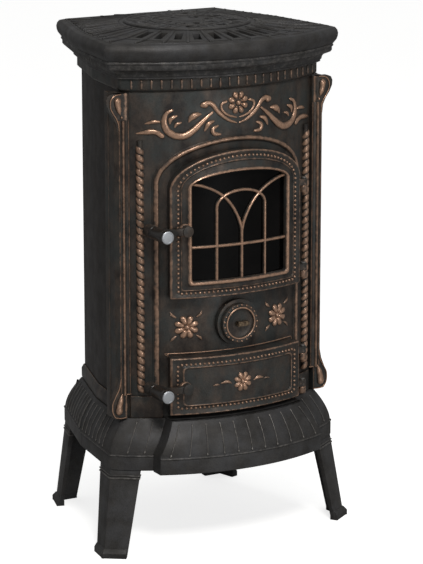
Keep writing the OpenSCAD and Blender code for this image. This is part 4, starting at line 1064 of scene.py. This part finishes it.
# How far the frieze stands out
FRIEZE_OUT = 8
# The top plate falls from its ring round the lid to its rim: how far each is from the lid's
# centre, how high it starts and by how much it falls
RING_R, RIM_R = 124, 196
CROWN_Z, CROWN_FALL = 968.2, 7.4
RAY_START = 130


class StoveCrown(bpy.types.Operator):
    """Reeded frieze, cornice, top plate and pierced lid"""
    bl_idname = "stove.crown"
    bl_label = "Frieze, cornice and top"

    def execute(self, context):
        self.ring("frieze_casting", "frieze", "iron_bronzed",
                  [(0.4, 868), (4.5, 870.4), (7.4, 873.2), (FRIEZE_OUT, 874.4),
                   (FRIEZE_OUT, 892.4), (8.6, 893.2), (-4.6, 893.4), (-4.6, 868)],
                  [0.0, 0.1, 0.35, 0.2, 0.0, 0.1, 0.0, 0.0])
        cove = [(16 + 15 * (1 - cos(pi / 2 * i / 9)), 899 + 13 * sin(pi / 2 * i / 9))
                for i in range(10)]
        nose = [(33 + 2.4 * sin(pi * i / 6), 921.6 + 3.0 * (1 - cos(pi * i / 6)))
                for i in range(7)]
        # Rub in the hollow cove is painted reflection, lightening it as if it caught the pale
        # floor; on the flats and the nose the rub is wear
        self.ring("cornice_casting", "cornice", "iron_dark",
                  [(13.2, 893.6), (14, 894.4), (14, 897.4), (15.6, 898.4)] + cove
                  + [(31.2, 913.2), (32.4, 913.8), (33, 915), (33, 921)] + nose
                  + [(33.6, 927.8), (-4.6, 927.8), (-4.6, 893.6)],
                  [0.2, 0.4, 0.2, 0.3] + [0.36] * len(cove) + [0.4, 0.5, 0.4, 0.36]
                  + [0.4] * len(nose) + [0.0] * 3)
        self.reeds(context.scene.stove_sizes.reeds)
        from_solid("top_plate", "top_casting", "stove", "iron_dark", 0.8, 34, worn=0.3)
        self.rays()
        self.lid()
        return {"FINISHED"}

    def rays(self):
        """Raised rays between the slots and on towards the sides, and the step inside the rim."""
        casting = Casting()
        centre = Vector((0, LID_Y))

        def reach(turn, out):
            """How far it is from the lid's centre to the stove's outline."""
            u = Vector((sin(turn), -cos(turn)))
            v = centre - Vector((0, BOW_CY))
            b = u.dot(v)
            far = [-b + sqrt(b * b - v.dot(v) + (BOW_R + out) ** 2)]
            for a, d in (SIDE, REAR, BACK):
                for way in (-1, 1):
                    n = Vector((way * cos(a), sin(a)))
                    if n.dot(u) > 0.01:
                        far.append((d + out - n.dot(centre)) / n.dot(u))
            return min(far)

        def on_crown(r, across, h, turn):
            z = CROWN_Z - CROWN_FALL * min(max((r - RING_R) / (RIM_R - RING_R), 0.0), 1.0)
            u, v = Vector((sin(turn), -cos(turn))), Vector((cos(turn), sin(turn)))
            p = centre + u * r + v * across
            return Vector((p.x, p.y, z + h)) * MM
        turns = [radians(11.3 * (i + 0.5)) for i in range(-6, 6)]
        turns += [radians(way * (70 + 6.2 * i)) for way in (-1, 1) for i in range(12)]
        for turn in turns:
            end = reach(turn, 21)
            line = [(RAY_START + (end - RAY_START) * i / 5, 0) for i in range(6)]
            casting.ridge(line, (5.2, 6.4, 5.2), (1.8, 2.6, 2.2),
                          lambda r, w, h: on_crown(r, w, h, turn), 0.3, steps=1, sunk=1.4)
        step = plan(27.4)
        line = [(p.x, p.y) for p in step + step[:1]]
        casting.ridge(line, 2.6, 1.0, lambda x, y, h: Vector((x, y, 960 + h)) * MM, 0.25,
                      steps=1, blunt=True)
        casting.piece("top_rays", "stove", "iron_dark")

    def lid(self):
        """The lid with two raised rings and leaves between its holes."""
        def change(mesh, rub):
            # The solid's top is as high as the leaves, which stand on a lower one here
            for v in mesh.verts:
                if v.co.z > LID_TOP * MM:
                    v.co.z -= LEAF_H * MM
        from_solid("top_lid", "lid_casting", "lid", "iron_dark", 0.7, 34, change=change, worn=0.3)
        casting = Casting()

        def flat(x, y, h):
            return Vector((x, LID_Y + y, LID_TOP + h)) * MM
        for r, w in ((116, 5.0), (67, 3.4)):
            casting.ridge(circle(r, 96), w, 1.7, flat, 0.4, steps=1, blunt=True, sunk=1.4)
        for i in range(8):
            for turn, points, width in (
                    (22.5, ((70, -9), (80, 7), (92, 4), (104, -9), (110, -14)), (3.0, 8.0, 3.0)),
                    (22.5, ((104, 13), (96, 16), (86, 15), (78, 11), (72, 14)), (2.0, 5.0, 2.0)),
                    (0.0, ((70, 0), (82, 9), (97, 6), (110, 0)), (3.0, 6.5, 3.0)),
                    (0.0, ((78, -12), (90, -6), (104, -12)), (2.0, 5.0, 2.0)),
                    (0.0, ((30, -6), (40, 3), (50, 3), (62, -7)), (2.5, 7.0, 2.5))):
                spin = Matrix.Rotation(radians(turn) + i * pi / 4, 2)
                casting.ridge([spin @ Vector(p) for p in points], width, (1.0, 1.7, 1.0), flat,
                              0.4, sunk=1.6)
        casting.dome(0, 0, 17, 17, 1.7, flat, rub=0.3)
        casting.piece("lid_leaves", "lid", "iron_dark")

    def ring(self, name, node, slot, profile, rubs):
        casting = Casting()
        casting.hoop(profile, rubs)
        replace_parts(casting.piece(name, "stove", slot, 30), node)

    def reeds(self, count):
        """Short upright reeds, evenly round the frieze's bowed front."""
        r = BOW_R + FRIEZE_OUT
        step = 18.3 / r
        first = -(count - 1) / 2 * step
        shape = Casting()
        # The reeds' rubbed crests are partly wear and partly painted highlight, lightening them in
        # the shade under the cornice
        shape.ridge([(0, 876.5), (0, 883), (0, 889.5)], 5.0, 2.2,
                    lambda x, z, h: at_turn(first + x / r, z, FRIEZE_OUT + h), 0.52, steps=3,
                    across=6)
        seed = (shape.closed(), {"Count": count, "Turn": step, "Step": (0, 0, 0),
                                 "Centre": (0, BOW_CY * MM, 0)})
        repeats("frieze_reeds", [seed], "stove", "iron_bronzed")


# ---------- Doors ----------


def strap_shapes(casting, levels):
    """The door's half of each hinge: a waisted knuckle and its strap."""
    y = bow_y(HINGE_X, 25)

    def upright(u, v, h):
        return Vector((HINGE_X + u, y + v, h)) * MM
    half = [(3.6, 0), (6.2, 0), (7, 0.9), (7, 4), (6.5, 4.8)]
    rubs = [0.1, 0.2, 0.3, 0.3, 0.1]
    for z in levels:
        low, high = z + 13.3, z + 26.3
        casting.turned([(r, low + h) for r, h in half] + [(r, high - h) for r, h in half[::-1]],
                       upright, 28, rubs + rubs[::-1])
        casting.block((126.8, y - 6.8, low + 0.2), (149, y + 1.8, high - 0.2), 1.0, 0.3)


def bowed(outline, out):
    return [on_bow(p.x, p.y, out) for p in outline]


def latch_boss(casting, z):
    """The round boss on a door that a latch turns on."""
    back, face = 172.5, 188.0
    casting.turned([(5.3, back), (12, back), (12, face - 1.2), (11, face - 0.1),
                    (5.3, face - 0.1)], facing(LATCH_X, z), 36, [0, 0, 0.8, 0.4, 0])


class StoveFireDoor(bpy.types.Operator):
    """Arched fire door with its pearls, beads, tracery and glass"""
    bl_idname = "stove.fire_door"
    bl_label = "Fire door"

    # Half-width, foot, top and spring of each line of the frame, how far it stands out, how far
    # it is rubbed and its corner
    LINES = [
        (130.4, 488.0, 756.0, 690, 1.2, 0.0, 3), (137.6, 487.2, 758.8, 690, 24.6, 0.0, 3),
        (138.3, 487.2, 758.9, 690, 25.6, 0.45, 3), (138.0, 487.8, 758.4, 690, 27.2, 0.85, 3),
        (136.8, 488.8, 757.2, 690, 28.3, 0.9, 3), (135.2, 490.2, 755.8, 690, 28.4, 0.6, 4),
        (133.0, 491.6, 754.2, 690, 27.6, 0.2, 4), (129.0, 494.0, 751.8, 690, 27.2, 0.1, 4),
        (127.8, 494.8, 751.0, 690, 26.4, 0.0, 4),
        (124.0, 497.0, 748.2, 690, 26.0, 0.0, 5), (120.9, 500.4, 744.0, 690, 26.4, 0.0, 5),
        (120.2, 501.4, 742.8, 690, 27.8, 0.4, 5), (118.9, 503.0, 740.8, 691, 28.8, 0.75, 5),
        (117.6, 504.2, 739.0, 691, 27.8, 0.4, 5), (116.8, 505.0, 738.0, 691, 26.8, 0.0, 5),
        (112.5, 508.2, 732.0, 692, 26.8, 0.1, 6), (108.9, 510.9, 727.3, 693, 27.4, 0.1, 6),
        (107.9, 511.6, 726.0, 693, 29.0, 0.4, 7), (106.0, 513.0, 723.8, 694, 30.6, 0.85, 7),
        (104.1, 514.4, 721.8, 694, 31.0, 1.0, 7), (102.0, 516.0, 721.0, 695, 30.2, 0.95, 7),
        (100.4, 517.6, 720.0, 695, 28.2, 0.6, 6), (99.0, 519.0, 719.0, 695, 25.6, 0.1, 5),
        (99.0, 519.0, 719.0, 695, 19.2, 0.0, 5), (128.6, 495.2, 750.8, 690, 19.2, 0.0, 4),
        (123.4, 497.2, 748.8, 690, 1.2, 0.0, 4),
    ]

    def execute(self, context):
        casting = Casting()
        rings, rubs = [], []
        for half, low, top, spring, out, bright, corner in self.LINES:
            rings.append(bowed(round_arch(half, low, spring, top - spring, corner), out))
            rubs.append(bright * (RIM_WEAR if half > 110 else WINDOW_WEAR))
        casting.skin(rings, rubs, loop=True)
        strap_shapes(casting, FIRE_HINGES)
        latch_boss(casting, LATCH_Z["fire"])
        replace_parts(casting.piece("fire_door_frame", "fire_door", "iron_bronzed", 40),
                    "fire_door")
        sizes = context.scene.stove_sizes
        pearls("fire_door_pearls", round_arch(124.0, 497.2, 690, 58.0, 5), front(26.6),
               sizes.pearl_pitch, sizes.pearl, "fire_door", "iron_bronzed")
        self.tracery()
        return {"FINISHED"}

    def tracery(self):
        """Crossing iron bars in front of the glass, each with a rounded face."""
        casting = Casting()
        place = front(21.2)

        def bar(points, steps=1):
            casting.ridge(points, 6.0, 4.4, place, 0.95, steps=steps, sunk=1.9, across=6,
                          blunt=True)
        bar([(x, 582) for x in range(-100, 101, 10)])
        bar([(0, z) for z in range(518, 609, 10)])
        # A smaller arch in the window, and a wing from its foot to each side
        for x in (-51, 51):
            bar([(x, z) for z in range(518, 655, 8)])
        bar([(51 * cos(pi * i / 28), 654 + 29.5 * sin(pi * i / 28)) for i in range(29)])
        wing = [(100, 700), (82, 697), (57, 687), (34, 671), (17, 650), (5, 626), (0, 607)]
        for way in (-1, 1):
            bar([(way * x, z) for x, z in wing], 5)
        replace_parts(casting.piece("window_tracery", "fire_door", "iron_bronzed"), "fire_tracery")


# Height of the ash door's middle
ASH_MIDDLE = 320


class StoveAshDoor(bpy.types.Operator):
    """Ash door with its pearled rim, bead and rosette"""
    bl_idname = "stove.ash_door"
    bl_label = "Ash door"

    # Half-width, foot and top of each line of the face, how far it stands out, how far it is
    # rubbed and its corner
    LINES = [
        (128.6, 273.2, 366.8, 19.2, 0.0, 3), (123.4, 273.2, 366.8, 1.2, 0.0, 3),
        (130.4, 265.6, 374.4, 1.2, 0.0, 2), (137.8, 265.2, 374.8, 24.6, 0.1, 2),
        (138.4, 265.4, 374.6, 26.0, 0.6, 2), (137.4, 266.2, 373.8, 27.6, 0.85, 3),
        (136.0, 267.4, 372.6, 28.4, 0.8, 3), (133.6, 269.8, 370.2, 27.8, 0.25, 4),
        (129.6, 274.2, 365.8, 26.6, 0.0, 5), (125.5, 278.6, 361.4, 26.2, 0.0, 6),
        (121.4, 280.0, 360.0, 26.6, 0.0, 7), (118.4, 281.6, 358.4, 27.4, 0.1, 8),
        (117.4, 282.4, 357.6, 28.8, 0.5, 8), (116.0, 283.6, 356.4, 29.6, 0.85, 8),
        (114.4, 285.0, 355.0, 28.8, 0.5, 8), (113.4, 286.0, 354.0, 27.0, 0.0, 8),
        (96, 291, 349, 27.0, 0.0, 8), (72, 297, 343, 27.2, 0.0, 8), (48, 303, 337, 27.3, 0.0, 7),
        (24, 309, 331, 27.4, 0.0, 5), (5, 315, 325, 27.4, 0.0, 2),
    ]

    def execute(self, context):
        casting = Casting()
        rings, rubs = [], []
        for half, low, top, out, bright, corner in self.LINES:
            rings.append(bowed(round_box(half, low, top, corner), out))
            rubs.append(bright * RIM_WEAR)
        # The back, drawn in towards the door's middle
        half, low, top, out, _, corner = self.LINES[0]
        inner = [[on_bow(p.x * k, ASH_MIDDLE + (p.y - ASH_MIDDLE) * k, out)
                  for p in round_box(half, low, top, corner)] for k in (0.04, 0.3, 0.6, 0.85)]
        casting.skin(inner + rings, [0.0] * len(inner) + rubs)
        strap_shapes(casting, ASH_HINGES)
        latch_boss(casting, LATCH_Z["ash"])
        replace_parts(casting.piece("ash_door_casting", "ash_door", "iron_bronzed", 40), "ash_door")
        sizes = context.scene.stove_sizes
        pearls("ash_door_pearls", round_box(125.4, 278.2, 361.8, 6), front(26.6),
               sizes.pearl_pitch, sizes.pearl, "ash_door", "iron_bronzed")
        relief = Casting()
        place = front(27.3)
        rosette(relief, 0, ASH_MIDDLE, 18.5, place, 3.6, 4.6)
        for way in (-1, 1):
            for line, width, height, rub in (
                    (((24, 319.5), (33, 323.5), (45, 321.5)), (2, 7.5, 2), (1.2, 3.4, 1.2), 0.8),
                    (((48, 318.5), (53, 320), (60, 318)), (1.6, 4.4, 1.2), (1, 2.4, 0.8), 0.7)):
                relief.ridge([(way * x, z) for x, z in line], width, height, place, rub)
        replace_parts(relief.piece("ash_door_rosette", "ash_door", "iron_bronzed"), "ash_ornament")
        return {"FINISHED"}


class StoveHinges(bpy.types.Operator):
    """Fixed hinge barrels and their pins"""
    bl_idname = "stove.hinges"
    bl_label = "Hinges"

    def execute(self, context):
        def change(mesh, rub):
            for v in mesh.verts:
                v[rub] = max(v[rub], 0.55)
        from_solid("hinge_lugs", "hinge_barrels", "stove", "iron_bronzed", 0.9, change=change,
                   worn=0.9)
        from_solid("hinge_pins", "hinge_pin_heads", "stove", "steel", 0.4)
        return {"FINISHED"}


# ---------- Latches and air valve ----------


# Radius of each line of a grip and a cap, and how far forward it is from the stove's middle
GRIP = [(0, 170.9), (11.2, 170.9), (12.2, 171.6), (12.2, 174.4), (11.3, 175.2), (11.3, 176.6),
        (12.4, 177.6), (12.5, 181), (12.2, 186), (12.4, 192), (12.5, 206), (12.5, 214),
        (12.3, 215), (11.7, 215.6), (12.3, 216.2), (12.5, 217.4), (12.4, 220.6), (11.6, 222.4),
        (0, 222.4)]
CAP = [(0, 222.5), (11.6, 222.5), (12.0, 223.1), (12.0, 224.7), (11.2, 225.4), (9.6, 225.6),
       (9.2, 225.0), (4, 225.1), (0, 225.2)]


class StoveLatches(bpy.types.Operator):
    """Lever latches with turned grips and bright end caps"""
    bl_idname = "stove.latches"
    bl_label = "Latches"

    def execute(self, context):
        for door, z in LATCH_Z.items():
            body = door + "_latch"
            from_solid(door + "_lever", door + "_lever_casting", body, "iron_bronzed", 1.1)
            for profile, node, name, slot in ((GRIP, "_grip", "_grip_turned", "black_grip"),
                                              (CAP, "_cap", "_cap_disc", "bright_cap")):
                casting = Casting()
                casting.turned(profile, facing(GRIP_X, z), 48)
                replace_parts(casting.piece(door + name, body, slot, 25), door + node)
        return {"FINISHED"}


# Radius of the ring of pearls on the valve
PEARLS_R = 34.6


class StoveValve(bpy.types.Operator):
    """Turning air valve with its pearled ring and tab, on a fixed boss"""
    bl_idname = "stove.valve"
    bl_label = "Air valve"

    def execute(self, context):
        from_solid("air_boss", "valve_boss", "stove", "iron_bronzed", 1.4)
        plate = facing(0, VALVE_Z, VALVE_Y)
        disc = Casting()
        # A headed spindle behind, the rim and the dished face
        disc.turned([(0, -16.4), (8, -16.4), (8, -12.4), (4, -12.4), (4, 0), (36, 0), (37, 1),
                     (37, 8.8), (36.2, 9.8), (35, 10), (31, 10), (29.6, 9.4), (29, 8), (29, 6),
                     (27, 5), (14, 5.4), (0, 5.6)], plate, 72,
                    [0, 0, 0, 0, 0, 0.1, 0.2, 0.3, 0.4, 0.15, 0.1, 0.1, 0.1, 0, 0.1, 0.2, 0.25])
        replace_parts(disc.piece("valve_disc", "air_valve", "iron_bronzed"), "air_disc")
        bead = Casting()
        bead.ridge(circle(29.4, 72), 3.6, 2.2, lambda u, v, h: plate(u, v, 9.8 + h), steps=1,
                   blunt=True)
        bead.piece("valve_bead", "air_valve", "iron_bronzed")
        pearls("valve_pearls", circle(PEARLS_R, 72)[:-1], lambda u, v, h: plate(u, v, 10.2),
               2 * pi * PEARLS_R / 20.01 * MM, 1.9 * MM, "air_valve", "iron_bronzed")
        tab = Casting()
        tab.block((-9, -197.2, 424.8), (15.8, -185.5, 433.4), 1.8, 0.8)
        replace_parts(tab.piece("valve_tab", "air_valve", "brass"), "air_tab")
        return {"FINISHED"}


class StoveFlue(bpy.types.Operator):
    """Flue collar and its bolts"""
    bl_idname = "stove.flue"
    bl_label = "Flue"

    def execute(self, context):
        from_solid("flue_collar", "flue_casting", "stove", "iron_dark", 1.4)
        from_solid("flue_bolts", "flue_bolt_heads", "stove", "steel", 0.6)
        return {"FINISHED"}


# ---------- Stage ----------

# The camera's sensor in mm, and its focal length and the picture's height in the same pixels
SENSOR, FOCAL, HEIGHT = 36, 2722, 564
# Half of the floor's width in metres
FLOOR = 8
# How bright the floor is to the camera, and how bright the world is to all other rays
FLOOR_GLOW, WORLD_LIGHT = 0.76, 0.26


class StoveStage(bpy.types.Operator):
    """Pale floor, soft studio light and the camera"""
    bl_idname = "stove.stage"
    bl_label = "Stage"

    def execute(self, context):
        scene = context.scene
        scene.view_settings.view_transform = "Standard"
        self.floor()
        self.world(scene)
        for name, place, size, power, tone in (
                ("Key", (-1.0, -2.7, 3.1), (0.75, 0.75), 60, (1.0, 0.98, 0.96)),
                ("Fill", (0.9, -3.9, 0.7), (1.2, 0.7), 18, (0.98, 0.99, 1.0)),
                ("Top", (0.2, -0.4, 3.4), (1.2, 1.2), 16, (1.0, 1.0, 1.0))):
            lamp = bpy.data.lights.new(name, "AREA")
            lamp.shape, lamp.size, lamp.size_y = "RECTANGLE", size[0], size[1]
            lamp.energy, lamp.color = power, tone
            self.aim(name, lamp, place, (0, 0, 0.5))
        camera = bpy.data.cameras.new("Camera")
        camera.sensor_width = SENSOR
        camera.lens = FOCAL / HEIGHT * SENSOR
        camera.clip_end = 50
        scene.camera = self.aim("Camera", camera, (-2.4387, -4.4347, 1.6862),
                                (0.0103, -0.0608, 0.4800))
        return {"FINISHED"}

    def aim(self, name, data, place, target):
        """A lamp or camera in its place, turned to its target."""
        obj = bpy.data.objects.new(name, data)
        obj.location = place
        obj.rotation_euler = (Vector(target) - obj.location).to_track_quat("-Z", "Y").to_euler()
        bpy.context.collection.objects.link(obj)
        return obj

    def floor(self):
        mesh = bpy.data.meshes.new("floor")
        mesh.from_pydata([(x * FLOOR, y * FLOOR, 0) for x, y in
                          ((-1, -1), (1, -1), (1, 1), (-1, 1))], [], [(0, 1, 2, 3)])
        obj = bpy.data.objects.new("floor", mesh)
        bpy.context.collection.objects.link(obj)
        tree, shader, _ = new_material("Pale floor")
        # A camera sees the floor near white, still darker where the stove shades it
        seen = put(tree, "ShaderNodeLightPath").outputs["Is Camera Ray"]
        lit = put(tree, "ShaderNodeMath", {0: seen, 1: FLOOR_GLOW}, operation="MULTIPLY")
        feed(tree, shader, {"Base Color": blend(tree, seen, linear("#b0b0b0"), linear("#e8e8e6")),
                            "Roughness": 0.9, "Specular IOR Level": 0.1,
                            "Emission Color": (1, 1, 1, 1), "Emission Strength": lit.outputs[0]})
        mesh.materials.append(bpy.data.materials["Pale floor"])

    def world(self, scene):
        world = bpy.data.worlds.new("Studio")
        scene.world = world
        world.use_nodes = True
        tree = world.node_tree
        tree.nodes.clear()
        ray = put(tree, "ShaderNodeLightPath").outputs
        seen = put(tree, "ShaderNodeMath", {0: ray["Is Camera Ray"],
                                            1: ray["Is Transmission Ray"]}, operation="MAXIMUM")
        strength = put(tree, "ShaderNodeMapRange", {"Value": seen.outputs[0],
                                                    "To Min": WORLD_LIGHT, "To Max": 1.0})
        back = put(tree, "ShaderNodeBackground", {"Color": (1, 1, 1, 1),
                                                  "Strength": strength.outputs[0]})
        put(tree, "ShaderNodeOutputWorld", {"Surface": back.outputs[0]})


class StovePanel(bpy.types.Panel):
    """Lists the stove's pieces and sizes"""
    bl_idname = "VIEW3D_PT_stove"
    bl_label = "Stove"
    bl_space_type = "VIEW_3D"
    bl_region_type = "UI"
    bl_category = "Stove"

    def draw(self, context):
        for group in (context.scene.stove_sizes, context.scene.stove_finish):
            for name in group.bl_rna.properties.keys():
                if name not in ("rna_type", "name"):
                    self.layout.prop(group, name)
        for operator in OPERATORS:
            self.layout.operator(operator.bl_idname)


OPERATORS = (StoveFinishes, StoveLegs, StoveSkirt, StoveBody, StoveOrnament, StovePilasters,
             StoveCrown, StoveFireDoor, StoveAshDoor, StoveHinges, StoveLatches, StoveValve,
             StoveFlue, StoveStage)
CLASSES = (StoveSizes, StoveFinish) + OPERATORS + (StovePanel,)


def register():
    for cls in CLASSES:
        bpy.utils.register_class(cls)
    bpy.types.Scene.stove_sizes = PointerProperty(type=StoveSizes)
    bpy.types.Scene.stove_finish = PointerProperty(type=StoveFinish)


def unregister():
    del bpy.types.Scene.stove_finish
    del bpy.types.Scene.stove_sizes
    for cls in reversed(CLASSES):
        bpy.utils.unregister_class(cls)


def main():
    register()
    for operator in OPERATORS:
        group, name = operator.bl_idname.split(".")
        getattr(getattr(bpy.ops, group), name)()


if __name__ == "__main__":
    main()
